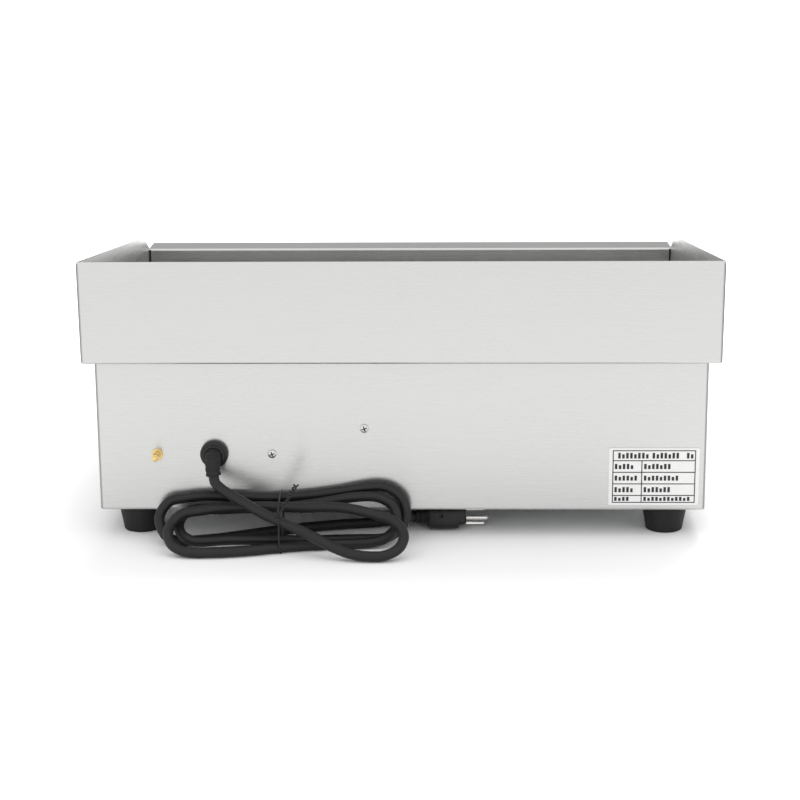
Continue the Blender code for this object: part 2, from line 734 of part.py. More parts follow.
def thermostat_body():
    body = block(
        "thermostat_body",
        (KNOB_X - THERMOSTAT_HALF, THERMOSTAT_FRONT_Y, KNOB_Z - THERMOSTAT_HALF),
        (KNOB_X + THERMOSTAT_HALF, THERMOSTAT_FRONT_Y + THERMOSTAT_DEPTH, KNOB_Z + THERMOSTAT_HALF),
        CERAMIC,
        0.003,
        2,
        along_y,
    )
    return cut_rod(
        body,
        SHAFT_RADIUS + SHAFT_CLEARANCE,
        (KNOB_X, THERMOSTAT_FRONT_Y - 0.005, KNOB_Z),
        (KNOB_X, THERMOSTAT_FRONT_Y + SHAFT_BORE_DEPTH, KNOB_Z),
        20,
    )


def thermostat_shaft():
    return rod(
        "thermostat_shaft",
        SHAFT_RADIUS,
        (KNOB_X, THERMOSTAT_FRONT_Y + SHAFT_BORE_DEPTH - 0.001, KNOB_Z),
        (KNOB_X, KNOB_BACK_Y - KNOB_BORE_DEPTH + 0.001, KNOB_Z),
        ZINC,
        20,
    )


def thermostat_knob():
    """A round skirt with a bar grip across it, bored for the shaft."""
    skirt_profile = [
        (0, SKIRT_DEPTH),
        (KNOB_RADIUS - 0.003, SKIRT_DEPTH),
        (KNOB_RADIUS - 0.001, SKIRT_DEPTH - 0.001),
        (KNOB_RADIUS, 0.002),
        (KNOB_RADIUS, 0),
        (0, 0),
    ]
    where = (KNOB_X, KNOB_BACK_Y, KNOB_Z)
    knob = turned("thermostat_knob", skirt_profile, BLACK, where, TO_FRONT, steps=36)
    join_block(
        knob,
        (KNOB_X - GRIP_HALF_WIDTH, KNOB_FRONT_Y, KNOB_Z - KNOB_RADIUS + 0.001),
        (KNOB_X + GRIP_HALF_WIDTH, KNOB_BACK_Y - SKIRT_DEPTH + 0.002, KNOB_Z + KNOB_RADIUS - 0.001),
        0.0025,
        lambda edge: all(vert.co.y < 0 for vert in edge.verts) or along_y(edge),
    )
    return cut_rod(
        knob,
        SHAFT_RADIUS + SHAFT_CLEARANCE,
        (KNOB_X, KNOB_BACK_Y + 0.005, KNOB_Z),
        (KNOB_X, KNOB_BACK_Y - KNOB_BORE_DEPTH, KNOB_Z),
        20,
    )


def dial_plate():
    """The thin printed ring behind the knob."""
    hole = SHAFT_RADIUS + SHAFT_CLEARANCE + 0.001
    profile = [(hole, DIAL_THICKNESS), (DIAL_RADIUS, DIAL_THICKNESS), (DIAL_RADIUS, 0), (hole, 0)]
    where = (KNOB_X, PANEL_FRONT_Y - GAP, KNOB_Z)
    return turned("dial_plate", profile, PAPER, where, TO_FRONT, steps=36, closed=True)


def lamp(name, x, lens_material):
    """A pilot lamp: a lens outside the panel and a body behind it."""
    lens_profile = [
        (0, 0.0060),
        (0.0025, 0.0056),
        (0.0045, 0.0040),
        (0.0050, 0.0018),
        (LAMP_RADIUS + 0.0020, 0.0016),
        (LAMP_RADIUS + 0.0020, 0),
        (0, 0),
    ]
    where = (x, PANEL_FRONT_Y - GAP, LAMP_Z)
    turned(f"{name}_lens", lens_profile, lens_material, where, TO_FRONT, steps=20)
    rod(
        f"{name}_holder",
        LAMP_RADIUS,
        (x, PANEL_FRONT_Y, LAMP_Z),
        (x, PANEL_BACK_Y + 0.020, LAMP_Z),
        BLACK,
        16,
    )


thermostat_body()
thermostat_shaft()
thermostat_knob()
dial_plate()
lamp("heating_lamp", LAMP_XS[0], RED_LENS)
lamp("power_lamp", LAMP_XS[1], GREEN_LENS)

BULB_RADIUS = 0.0035
BULB_Z = ELEMENT_Z
BULB_START_Y = CLAMP_YS[0] + 0.016
BULB_LENGTH = 0.080
CAPILLARY_RADIUS = 0.0012
THERMOSTAT_REAR_Y = THERMOSTAT_FRONT_Y + THERMOSTAT_DEPTH
capillary_points = [
    (KNOB_X, THERMOSTAT_REAR_Y + GAP, KNOB_Z),
    (KNOB_X, THERMOSTAT_REAR_Y + 0.0235, KNOB_Z),
    (KNOB_X - 0.015, BULB_HOLE_Y - 0.081, PAN_FLOOR_Z - 0.025),
    (KNOB_X - 0.065, BULB_HOLE_Y - 0.036, PAN_FLOOR_Z - 0.021),
    (0.040, BULB_HOLE_Y - 0.012, PAN_FLOOR_Z - 0.018),
    (0.008, BULB_HOLE_Y - 0.002, PAN_FLOOR_Z - 0.014),
    (0.000, BULB_HOLE_Y, PAN_FLOOR_Z - 0.002),
    (0.000, BULB_HOLE_Y, PAN_FLOOR_Z + 0.023),
    (0.000, BULB_HOLE_Y + 0.010, BULB_Z - 0.003),
    (0.000, BULB_START_Y - GAP, BULB_Z),
]
tube("capillary_tube", smooth_route(capillary_points, 0.009), CAPILLARY_RADIUS, COPPER)
rod(
    "sensor_bulb",
    BULB_RADIUS,
    (0, BULB_START_Y, BULB_Z),
    (0, BULB_START_Y + BULB_LENGTH, BULB_Z),
    COPPER,
    16,
)


# ---------------------------------------------------------------- rear fittings
TERMINAL_BLOCK = (0.060, 0.022, 0.028)
LIMITER = (0.036, 0.018, 0.026)
SCREW_REACH = 0.010
SCREW_HEAD_RADIUS = 0.0038
SCREW_CROSS = (0.0021, 0.00045)   # half the length and half the width of an arm
SCREW_CROSS_FLOOR = 0.0010        # recess floor above the panel


def rear_box(name, x, z, size, material):
    """Something screwed to the inside of the rear panel."""
    width, depth, height = size
    made = block(
        name,
        (x - width / 2, PANEL_INNER_Y - GAP - depth, z - height / 2),
        (x + width / 2, PANEL_INNER_Y - GAP, z + height / 2),
        material,
        0.0015,
        1,
    )
    return cut_rod(
        made,
        SCREW_RADIUS + HOLE_CLEARANCE,
        (x, PANEL_INNER_Y - SCREW_REACH - 0.002, z),
        (x, PANEL_INNER_Y + 0.005, z),
        12,
    )


def rear_screw(name, x, z):
    """A pan head with a cross recess, and its shank through the panel."""
    head = SCREW_HEAD_RADIUS
    profile = [
        (0, 0.0024),
        (head * 0.55, 0.0021),
        (head * 0.90, 0.0012),
        (head, GAP),
        (SCREW_RADIUS, GAP),
        (SCREW_RADIUS, -SKIN - SCREW_REACH),
        (0, -SKIN - SCREW_REACH),
    ]
    screw = turned(name, profile, ZINC, (x, PANEL_REAR_Y, z), TO_REAR, steps=20)
    arm, half = SCREW_CROSS
    for across, up in ((arm, half), (half, arm)):
        cut_block(
            screw,
            (x - across, PANEL_REAR_Y + SCREW_CROSS_FLOOR, z - up),
            (x + across, PANEL_REAR_Y + HEADROOM / 10, z + up),
        )
    return screw


rear_box("terminal_block", *LOW_SCREW, TERMINAL_BLOCK, CERAMIC)
rear_box("limit_thermostat", *HIGH_SCREW, LIMITER, BLACK)
rear_screw("rear_screw_low", *LOW_SCREW)
rear_screw("rear_screw_high", *HIGH_SCREW)

STUD_REACH = 0.0160            # outside the panel
STUD_TAIL = 0.0080             # inside it
WASHER_RADIUS = 0.0052
WASHER_THICKNESS = 0.0008
NUT_RADIUS = 0.0041
NUT_THICKNESS = 0.0032


def ring(name, inner, outer, low_y, high_y, material, segments, at):
    """A flat ring or a hexagonal nut on an axis along Y."""
    x, z = at
    made = rod(name, outer, (x, low_y, z), (x, high_y, z), material, segments)
    return cut_rod(made, inner, (x, low_y - 0.005, z), (x, high_y + 0.005, z), 16)


def earth_terminal():
    """The outside earth screw: stud, washer and nut, all brass."""
    at = (STUD_X, REAR_ROW_Z)
    rod(
        "earth_stud",
        STUD_RADIUS,
        (STUD_X, PANEL_INNER_Y - STUD_TAIL, REAR_ROW_Z),
        (STUD_X, PANEL_REAR_Y + STUD_REACH, REAR_ROW_Z),
        BRASS,
        16,
    )
    bore = STUD_RADIUS + HOLE_CLEARANCE
    washer_y = PANEL_REAR_Y + GAP
    nut_y = washer_y + WASHER_THICKNESS + GAP
    ring("earth_washer", bore, WASHER_RADIUS, washer_y, washer_y + WASHER_THICKNESS, BRASS, 24, at)
    ring("earth_nut", bore, NUT_RADIUS, nut_y, nut_y + NUT_THICKNESS, BRASS, 6, at)


def rating_label():
    x, z = LABEL_CENTRE
    width, height = LABEL_SIZE
    return block(
        "rating_label",
        (x - width / 2, PANEL_REAR_Y + GAP, z - height / 2),
        (x + width / 2, PANEL_REAR_Y + 2 * GAP, z + height / 2),
        PAPER,
    )


earth_terminal()
rating_label()

# ---------------------------------------------------------------- cord entry
GLAND_FLANGE_RADIUS = 0.0123
GLAND_MOUTH_RADIUS = 0.0092
GLAND_DEPTH = 0.0100
GLAND_BORE_RADIUS = 0.0050
GLAND_SHANK_REACH = 0.0120     # shank behind the panel's outer face
GLAND_NUT_RADIUS = 0.0125
GLAND_NUT_THICKNESS = 0.005


def cord_gland():
    """The cord's bush: a domed flange outside and a shank through the panel."""
    profile = [
        (GLAND_BORE_RADIUS, GLAND_DEPTH),
        (GLAND_MOUTH_RADIUS, GLAND_DEPTH),
        (GLAND_FLANGE_RADIUS - 0.0012, 0.0070),
        (GLAND_FLANGE_RADIUS, 0.0045),
        (GLAND_FLANGE_RADIUS, GAP),
        (GLAND_SHANK_RADIUS, GAP),
        (GLAND_SHANK_RADIUS, -GLAND_SHANK_REACH),
        (GLAND_BORE_RADIUS, -GLAND_SHANK_REACH),
    ]
    where = (GLAND_X, PANEL_REAR_Y, REAR_ROW_Z)
    return turned("cord_gland", profile, BLACK, where, TO_REAR, steps=28, closed=True)


cord_gland()
ring(
    "gland_nut",
    GLAND_SHANK_RADIUS + HOLE_CLEARANCE,
    GLAND_NUT_RADIUS,
    PANEL_INNER_Y - GAP - GLAND_NUT_THICKNESS,
    PANEL_INNER_Y - GAP,
    BLACK,
    6,
    (GLAND_X, REAR_ROW_Z),
)

# The sleeve leaves the gland and droops under the cord's weight.
SLEEVE_RADIUS = 0.0074
SLEEVE_TAPER = 0.16
SLEEVE_SPACING = 0.0024
sleeve_points = [
    (GLAND_X, PANEL_REAR_Y + GLAND_DEPTH + 3 * GAP, REAR_ROW_Z),
    (GLAND_X, PANEL_REAR_Y + GLAND_DEPTH + 0.0030, REAR_ROW_Z),
    (GLAND_X - 0.0002, PANEL_REAR_Y + GLAND_DEPTH + 0.0076, REAR_ROW_Z - 0.0030),
    (GLAND_X - 0.0006, PANEL_REAR_Y + GLAND_DEPTH + 0.0106, REAR_ROW_Z - 0.0082),
    (GLAND_X - 0.0014, PANEL_REAR_Y + GLAND_DEPTH + 0.0120, REAR_ROW_Z - 0.0140),
]
sleeve_route = smooth_route(sleeve_points, SLEEVE_SPACING)
sleeve_taper = [1.0 - SLEEVE_TAPER * step / (len(sleeve_route) - 1) for step in range(len(sleeve_route))]
tube("strain_relief", sleeve_route, SLEEVE_RADIUS, RUBBER, 3, sleeve_taper)

# ---------------------------------------------------------------- cord
# Where it isn't in the hank, the cord follows these points, in millimetres.
LEAD_ROUTE_MM = [
    (162.9, 247.3, 60.6), (162.2, 248.2, 58), (160, 250, 55.5),
    (154, 253, 51.5), (147, 256, 48), (141, 258, 45),
]
TAIL_ROUTE_MM = [
    (118, 225, 5), (105, 220, 5), (91, 215, 5), (75, 210, 5), (60, 206, 5),
    (43, 202, 5), (27, 199, 5), (15, 198, 6), (6, 198, 8.5), (-1, 199, 10.4), (-7, 199, 10.7),
]


LEAD_SPACING = 0.004
TAIL_SPACING = 0.018


def millimetres(points):
    return [tuple(value / 1000 for value in point) for point in points]


HANK_LENGTH = 0.228
HANK_HEIGHT = 0.082          # in the leaning plane
HANK_THICKNESS = 0.032
HANK_LEAN = math.radians(32)  # from the table
HANK_CENTRE = (0.1045, 0.2600, 0.0190)
HANK_FLOOR = 2 * TIE_RADIUS + 2 * GAP


def cord_hank():
    """The tied loops as one solid: a stadium outline, leaning on the panel."""
    radius = HANK_HEIGHT / 2
    reach = HANK_LENGTH / 2 - radius
    bm = bmesh.new()
    outline = []
    for end, start in ((1, -math.pi / 2), (-1, math.pi / 2)):
        for step in range(9):
            angle = start + math.pi * step / 8
            outline.append((end * reach + radius * math.cos(angle), radius * math.sin(angle), 0))
    face = bm.faces.new([bm.verts.new(point) for point in outline])
    raised = bmesh.ops.extrude_face_region(bm, geom=[face])["geom"]
    moved = [item for item in raised if isinstance(item, bmesh.types.BMVert)]
    bmesh.ops.translate(bm, verts=moved, vec=(0, 0, HANK_THICKNESS))
    bmesh.ops.translate(bm, verts=bm.verts, vec=(0, 0, -HANK_THICKNESS / 2))
    bmesh.ops.transform(bm, verts=bm.verts, matrix=Matrix.Rotation(-HANK_LEAN, 4, "X"))
    bmesh.ops.translate(bm, verts=bm.verts, vec=HANK_CENTRE)
    behind = PANEL_REAR_Y + 2 * TIE_RADIUS + 2 * GAP
    for point, normal in (((0, 0, HANK_FLOOR), (0, 0, -1)), ((0, behind, 0), (0, -1, 0))):
        everything = [*bm.verts, *bm.edges, *bm.faces]
        bmesh.ops.bisect_plane(bm, geom=everything, plane_co=point, plane_no=normal, clear_outer=True)
        rim = [edge for edge in bm.edges if edge.is_boundary]
        bmesh.ops.holes_fill(bm, edges=rim)
    bmesh.ops.remove_doubles(bm, verts=bm.verts, dist=0.00001)
    return place("cord_hank", mesh_from(bm, "cord_hank"), parts, CORD)


def cord_tie():
    """A wire tie round the whole hank, close to its section."""
    off = TIE_RADIUS + GAP
    low_z = off
    back_y = PANEL_REAR_Y + off
    along = Vector((0, math.cos(HANK_LEAN), -math.sin(HANK_LEAN)))
    up = Vector((0, math.sin(HANK_LEAN), math.cos(HANK_LEAN)))
    centre = Vector((TIE_X, *HANK_CENTRE[1:]))
    top = centre + up * (HANK_THICKNESS / 2 + off)
    foot_y = (top + along * (HANK_HEIGHT / 2 + off)).y
    front_low = top + along * (HANK_HEIGHT / 2 + off)
    back_top = top - along * ((top.y - back_y) / along.y)
    points = [
        Vector((TIE_X, back_y + 0.012, low_z)),
        Vector((TIE_X, foot_y, low_z)),
        front_low,
        back_top,
        Vector((TIE_X, back_y, low_z + 0.014)),
    ]
    return tube("cord_tie", points, TIE_RADIUS, BLACK, 1, cyclic=True)


tube("cord_lead", smooth_route(millimetres(LEAD_ROUTE_MM), LEAD_SPACING), CORD_RADIUS, CORD, 3)
cord_hank()
cord_tie()
tube("cord_tail", smooth_route(millimetres(TAIL_ROUTE_MM), TAIL_SPACING), CORD_RADIUS, CORD, 3)

# ---------------------------------------------------------------- plug
PLUG_START = Vector((-0.0083, 0.1990, 0.0107))   # where the cord enters
PLUG_TAIL = 0.015
PLUG_BODY = 0.034
PLUG_RADIUS = 0.0120
PLUG_FLATNESS = 0.86          # height over depth
BLADE_LENGTH = 0.0165
BLADE_WIDTH = 0.0063
BLADE_THICKNESS = 0.0015
PIN_LENGTH = 0.0195
PIN_RADIUS = 0.0024
PIN_REACH = 0.0060            # pin and blades either side of the middle
BLADE_SPREAD = 0.00635
PLUG_TURN = math.radians(10)  # how far the plug has rolled on the table
TO_LEFT = (0, -math.pi / 2, 0)  # turns a piece's +Z towards -X


def plug_body():
    """A moulded plug with a ribbed tail, lying on its side."""
    length = PLUG_TAIL + PLUG_BODY
    ribs = []
    for rib in range(4):
        low = 0.0005 + PLUG_TAIL * rib / 4
        size = CORD_RADIUS + 0.0010 + 0.0005 * rib
        groove = size - 0.0011
        ribs += [(size, low), (size, low + 0.0024), (groove, low + 0.0026), (groove, low + 0.0034)]
    grip = [
        (PLUG_RADIUS * 0.86, PLUG_TAIL + 0.004),
        (PLUG_RADIUS * 0.84, PLUG_TAIL + 0.014),
        (PLUG_RADIUS, PLUG_TAIL + 0.022),
        (PLUG_RADIUS, length - 0.0015),
        (PLUG_RADIUS - 0.0015, length),
    ]
    outer = [(0, 0.0), (CORD_RADIUS + 0.0006, 0.0), *ribs, *grip, (0, length)]
    made = turned("plug_body", outer[::-1], BLACK, PLUG_START, TO_LEFT, steps=24)
    made.scale = (PLUG_FLATNESS, 1, 1)
    return made


def plug_offset(across, along_line):
    """A place on the plug's face: across from the middle to the earth pin, and along the blades' line."""
    turn = PLUG_TURN
    y = across * math.cos(turn) + along_line * math.sin(turn)
    z = across * math.sin(turn) - along_line * math.cos(turn)
    return Vector((0, y, z))


def plug_blade(name, along_line):
    face = PLUG_START - Vector((PLUG_TAIL + PLUG_BODY + GAP, 0, 0))
    centre = face + plug_offset(-PIN_REACH, along_line) - Vector((BLADE_LENGTH / 2, 0, 0))
    mesh = block_mesh(name, (BLADE_LENGTH, BLADE_WIDTH, BLADE_THICKNESS), 0.0005, 1)
    return place(name, mesh, parts, NICKEL, centre, (PLUG_TURN, 0, 0))


def plug_pin():
    face = PLUG_START - Vector((PLUG_TAIL + PLUG_BODY + GAP, 0, 0))
    profile = [
        (0, PIN_LENGTH),
        (PIN_RADIUS * 0.5, PIN_LENGTH - 0.0003),
        (PIN_RADIUS * 0.87, PIN_LENGTH - 0.0012),
        (PIN_RADIUS, PIN_LENGTH - PIN_RADIUS),
        (PIN_RADIUS, 0),
        (0, 0),
    ]
    return turned("plug_earth_pin", profile, NICKEL, face + plug_offset(PIN_REACH, 0), TO_LEFT, steps=16)


plug_body()
plug_blade("plug_blade_line", -BLADE_SPREAD)
plug_blade("plug_blade_neutral", BLADE_SPREAD)
plug_pin()

# ---------------------------------------------------------------- wiring
WIRE_RADIUS = 0.0015
WIRE_GAP = 0.0010
gland_inner_y = PANEL_REAR_Y - GLAND_SHANK_REACH - WIRE_GAP
block_top_z = LOW_SCREW[1] + TERMINAL_BLOCK[2] / 2 + WIRE_GAP
block_y = PANEL_INNER_Y - 0.012
wire_line = [
    (GLAND_X - 0.002, gland_inner_y, REAR_ROW_Z + 0.002),
    (GLAND_X - 0.004, gland_inner_y - 0.012, REAR_ROW_Z + 0.010),
    (GLAND_X - 0.018, gland_inner_y - 0.014, REAR_ROW_Z + 0.024),
    (LOW_SCREW[0] + 0.022, block_y, block_top_z + 0.012),
    (LOW_SCREW[0] + 0.018, block_y, block_top_z),
]
wire_earth = [
    (GLAND_X + 0.002, gland_inner_y, REAR_ROW_Z - 0.002),
    (GLAND_X + 0.006, gland_inner_y - 0.012, REAR_ROW_Z - 0.006),
    (GLAND_X + 0.030, gland_inner_y - 0.014, REAR_ROW_Z - 0.006),
    (STUD_X - 0.002, PANEL_INNER_Y - STUD_TAIL - 0.008, REAR_ROW_Z),
    (STUD_X, PANEL_INNER_Y - STUD_TAIL - WIRE_GAP, REAR_ROW_Z),
]
control_run = THERMOSTAT_REAR_Y + WIRE_GAP - block_y
wire_control = [
    (LOW_SCREW[0] - 0.018, block_y, block_top_z),
    (LOW_SCREW[0] - 0.018, block_y - 0.002, block_top_z + 0.010),
    (KNOB_X - 0.065, block_y + 0.161 * control_run, PAN_FLOOR_Z - 0.018),
    (KNOB_X - 0.035, block_y + 0.421 * control_run, PAN_FLOOR_Z - 0.026),
    (KNOB_X - 0.025, block_y + 0.707 * control_run, KNOB_Z - 0.011),
    (KNOB_X - 0.015, block_y + 0.915 * control_run, KNOB_Z - 0.012),
    (KNOB_X - 0.010, THERMOSTAT_REAR_Y + WIRE_GAP, KNOB_Z - 0.012),
]
for wire_name, wire_points in (
    ("wire_line", wire_line),
    ("wire_earth", wire_earth),
    ("wire_control", wire_control),
):
    tube(wire_name, smooth_route(wire_points, 0.008), WIRE_RADIUS, LEAD)


# ---------------------------------------------------------------- drawer
def drawer():
    """A folded box, open on top, with a front plate that covers its opening."""
    front_y = PANEL_FRONT_Y - GAP
    low_x, high_x = DRAWER_X - HALF_DRAWER, DRAWER_X + HALF_DRAWER
    made = block(
        "grease_drawer",
        (low_x, front_y - SHEET, DRAWER_FLOOR_Z),
        (high_x, front_y + DRAWER_DEPTH, DRAWER_TOP_Z - DRAWER_CLEARANCE),
        STEEL,
    )
    join_block(
        made,
        (low_x - DRAWER_FRONT_MARGIN, front_y - SHEET, DRAWER_FLOOR_Z - DRAWER_FRONT_MARGIN + 0.002),
        (high_x + DRAWER_FRONT_MARGIN, front_y, DRAWER_TOP_Z + DRAWER_FRONT_MARGIN),
    )
    return cut_block(
        made,
        (low_x + DRAWER_WALL, front_y + DRAWER_WALL, DRAWER_FLOOR_Z + DRAWER_WALL),
        (high_x - DRAWER_WALL, front_y + DRAWER_DEPTH - DRAWER_WALL, DRAWER_TOP_Z + HEADROOM),
    )


def drawer_handle():
    """A bent rod with two feet on the drawer's front plate."""
    face_y = PANEL_FRONT_Y - GAP - SHEET - GAP
    z = (DRAWER_FLOOR_Z + DRAWER_TOP_Z) / 2
    half = HANDLE_LENGTH / 2
    front_y = face_y - HANDLE_REACH + HANDLE_RADIUS
    corner = 0.009
    points = [(DRAWER_X - half, face_y, z)]
    for step in range(6):
        angle = math.pi / 2 * step / 5
        x = DRAWER_X - half + corner * (1 - math.cos(angle))
        points.append((x, front_y + corner * (1 - math.sin(angle)), z))
    points += [(2 * DRAWER_X - x, y, height) for x, y, height in reversed(points)]
    return tube("drawer_handle", points, HANDLE_RADIUS, STEEL, 2)


RAIL_WALL = 0.0010
RAIL_FLANGE = 0.012
RAIL_HEIGHT = 0.024


def drawer_rail(name, side):
    """An angle under and beside the drawer, on which it slides."""
    inner = DRAWER_X + side * (HALF_DRAWER + 0.0005)
    outer = inner + side * RAIL_WALL
    toe = inner - side * RAIL_FLANGE
    rail_top = DRAWER_FLOOR_Z - GAP
    rear_y = PANEL_FRONT_Y + DRAWER_DEPTH + 0.010
    xs = sorted((outer, toe))
    rail = block(
        name,
        (xs[0], PANEL_BACK_Y + GAP, rail_top - RAIL_WALL),
        (xs[1], rear_y, rail_top),
        ZINC,
    )
    xs = sorted((outer, inner))
    return join_block(
        rail,
        (xs[0], PANEL_BACK_Y + GAP, rail_top - RAIL_WALL),
        (xs[1], rear_y, rail_top + RAIL_HEIGHT),
    )


drawer()
drawer_handle()
drawer_rail("drawer_rail_left", -1)
drawer_rail("drawer_rail_right", 1)
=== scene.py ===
# %% [markdown]
# # A countertop griddle, seen from its rear
# The appliance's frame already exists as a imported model: every sheet, fastener and joint has its
# real size and place there. This lesson loads it, keeps its outer box, and then makes the visible
# surfaces around it: folded sheets, moulded rubber, a tied supply cord and a brushed finish.

# %% Load the frame
import json
import math

import bmesh
import bpy
from mathutils import Matrix, Vector

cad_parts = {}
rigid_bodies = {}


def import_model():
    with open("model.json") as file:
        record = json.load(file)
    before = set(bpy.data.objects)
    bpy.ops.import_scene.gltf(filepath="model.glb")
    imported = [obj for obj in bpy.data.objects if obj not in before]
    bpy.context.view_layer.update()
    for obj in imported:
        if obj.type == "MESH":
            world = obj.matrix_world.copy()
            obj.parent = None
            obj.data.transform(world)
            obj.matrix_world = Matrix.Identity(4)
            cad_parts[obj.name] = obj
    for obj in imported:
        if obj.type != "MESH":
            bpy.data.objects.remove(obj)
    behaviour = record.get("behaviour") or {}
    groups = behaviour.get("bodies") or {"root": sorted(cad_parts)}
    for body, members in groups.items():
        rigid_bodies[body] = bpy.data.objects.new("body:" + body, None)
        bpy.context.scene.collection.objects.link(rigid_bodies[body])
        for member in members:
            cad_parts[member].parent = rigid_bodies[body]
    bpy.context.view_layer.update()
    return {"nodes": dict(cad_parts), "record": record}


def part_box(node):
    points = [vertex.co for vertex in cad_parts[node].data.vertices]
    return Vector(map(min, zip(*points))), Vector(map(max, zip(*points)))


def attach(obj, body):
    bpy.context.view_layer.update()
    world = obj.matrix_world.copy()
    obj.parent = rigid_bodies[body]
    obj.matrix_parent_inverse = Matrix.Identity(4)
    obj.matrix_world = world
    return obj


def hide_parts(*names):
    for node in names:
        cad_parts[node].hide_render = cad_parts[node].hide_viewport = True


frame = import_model()

# %% [markdown]
# ## The camera
# A long lens far away keeps the panel's edges nearly parallel, which suits a catalogue view. The
# camera stands behind the appliance, a little above it and a hand's width to one side. Its matrix
# is a product of simple turns: tilt, then swing, then move, which is easier to read than a
# tracking constraint and gives the same picture each time.

# %% Camera
LENS_MM = 88.42
SENSOR_MM = 36.0
CAMERA_PLACE = (-0.0410, 1.8853, 0.5535)
CAMERA_DOWN = 14.4448      # degrees below the horizon
CAMERA_SWING = 181.4405    # degrees from looking along +Y
CAMERA_ROLL = -0.386


def turn(degrees, axis):
    return Matrix.Rotation(math.radians(degrees), 4, axis)


lens = bpy.data.cameras.new("camera")
lens.lens = LENS_MM
lens.sensor_width = SENSOR_MM
camera = bpy.data.objects.new("camera", lens)
bpy.context.scene.collection.objects.link(camera)
tilt = turn(90 - CAMERA_DOWN, "X")
camera.matrix_world = (
    Matrix.Translation(CAMERA_PLACE) @ turn(CAMERA_SWING, "Z") @ tilt @ turn(CAMERA_ROLL, "Z")
)
bpy.context.scene.camera = camera
bpy.context.scene.view_settings.view_transform = "Standard"
print("camera at", CAMERA_PLACE)

# %% [markdown]
# ## The cord's route
# The cord leaves the gland, hangs into a bundle of long loops that stands against the panel, and
# runs out along the table to its plug. A real lead is folded by hand, so no formula gives its
# route: the points are chosen one by one, in millimetres, at least one diameter apart. A
# Catmull-Rom spline goes through every point, which keeps the loops round, and the result is read
# at even steps so that the tube's rings are evenly spaced.

# %% Points of the cord
CORD_DIAMETER = 0.0092
LEAD_MM = [
    (162.9, 247.3, 60.6), (162.2, 248.2, 58), (160, 250, 55.5), (154, 253, 51.5), (147, 256, 48),
    (141, 258, 45),
]
LOOPS_MM = [
    (125, 263, 37), (112, 266, 31), (98, 270, 26), (84, 275, 21), (70, 281, 16), (55, 287, 10),
    (38, 292, 6), (19, 293, 5), (8, 291, 7), (0, 285, 11), (-3, 276, 17), (0, 268, 23),
    (8, 262, 28), (20, 259, 31), (36, 255, 34), (57, 251, 36), (88, 249, 35), (121, 247, 35),
    (154, 246, 34), (179, 248, 31), (191, 252, 30), (199, 257, 24), (202, 266, 18), (199, 275, 11),
    (191, 281, 7), (179, 283, 5), (155, 282, 5), (130, 277, 5), (108, 270, 5), (85, 264, 5),
    (57, 260, 5), (38, 258, 5), (24, 257, 6), (14, 256, 9), (6, 252, 15), (4, 248, 24),
    (6, 243, 33), (14, 240, 39), (25, 239, 42), (44, 239, 41), (72, 239, 36), (102, 238, 32),
    (140, 236, 30), (162, 236, 29), (178, 236, 29), (187, 238, 28), (193, 243, 24), (195, 249, 18),
    (192, 256, 13), (186, 261, 10), (176, 263, 8), (150, 261, 9), (118, 257, 8), (85, 250, 5),
    (50, 247, 5), (32, 246, 5), (19, 245, 5), (8, 244, 8), (-1, 241, 16), (-4, 238, 27),
    (-1, 235, 38), (8, 232, 46), (19, 231, 49), (32, 231, 48), (55, 230, 44), (85, 230, 40),
    (116, 230, 38), (147, 230, 39), (174, 231, 40), (192, 232, 38), (203, 233, 36), (210, 237, 30),
    (213, 241, 22), (210, 246, 13), (204, 250, 7), (193, 251, 5), (172, 248, 5), (150, 240, 5),
]
TAIL_MM = [
    (118, 225, 5), (105, 220, 5), (91, 215, 5), (75, 210, 5), (60, 206, 5), (43, 202, 5),
    (27, 199, 5), (15, 198, 6), (6, 198, 8.5), (-1, 199, 10.4), (-7, 199, 10.7),
]


def smooth_route(points, spacing):
    """Evenly spaced points on a smooth curve through the given ones."""
    knots = [Vector(point) for point in points]
    ends = [2 * knots[0] - knots[1], *knots, 2 * knots[-1] - knots[-2]]
    fine = []
    for before, here, there, after in zip(ends, ends[1:], ends[2:], ends[3:]):
        leave, arrive = (there - before) / 2, (after - here) / 2
        for step in range(12):
            t = step / 12
            fine.append(
                here * (2 * t**3 - 3 * t**2 + 1) + leave * (t**3 - 2 * t**2 + t)
                + there * (3 * t**2 - 2 * t**3) + arrive * (t**3 - t**2)
            )
    fine.append(knots[-1])
    reached = [0.0]
    for first, second in zip(fine, fine[1:]):
        reached.append(reached[-1] + (second - first).length)
    count = round(reached[-1] / spacing)
    route, index = [], 0
    for number in range(count + 1):
        goal = reached[-1] * number / count
        while index < len(reached) - 2 and reached[index + 1] < goal:
            index += 1
        share = (goal - reached[index]) / max(reached[index + 1] - reached[index], 1e-9)
        route.append(fine[index].lerp(fine[index + 1], min(share, 1.0)))
    return route


def length_of(route):
    return sum((second - first).length for first, second in zip(route, route[1:]))


IN_SLEEVE_MM = [(163.6, 245.8, 66)]
cord_knots = [Vector(point) / 1000 for point in IN_SLEEVE_MM + LEAD_MM + LOOPS_MM + TAIL_MM]
cord_route = smooth_route(cord_knots, 0.003)
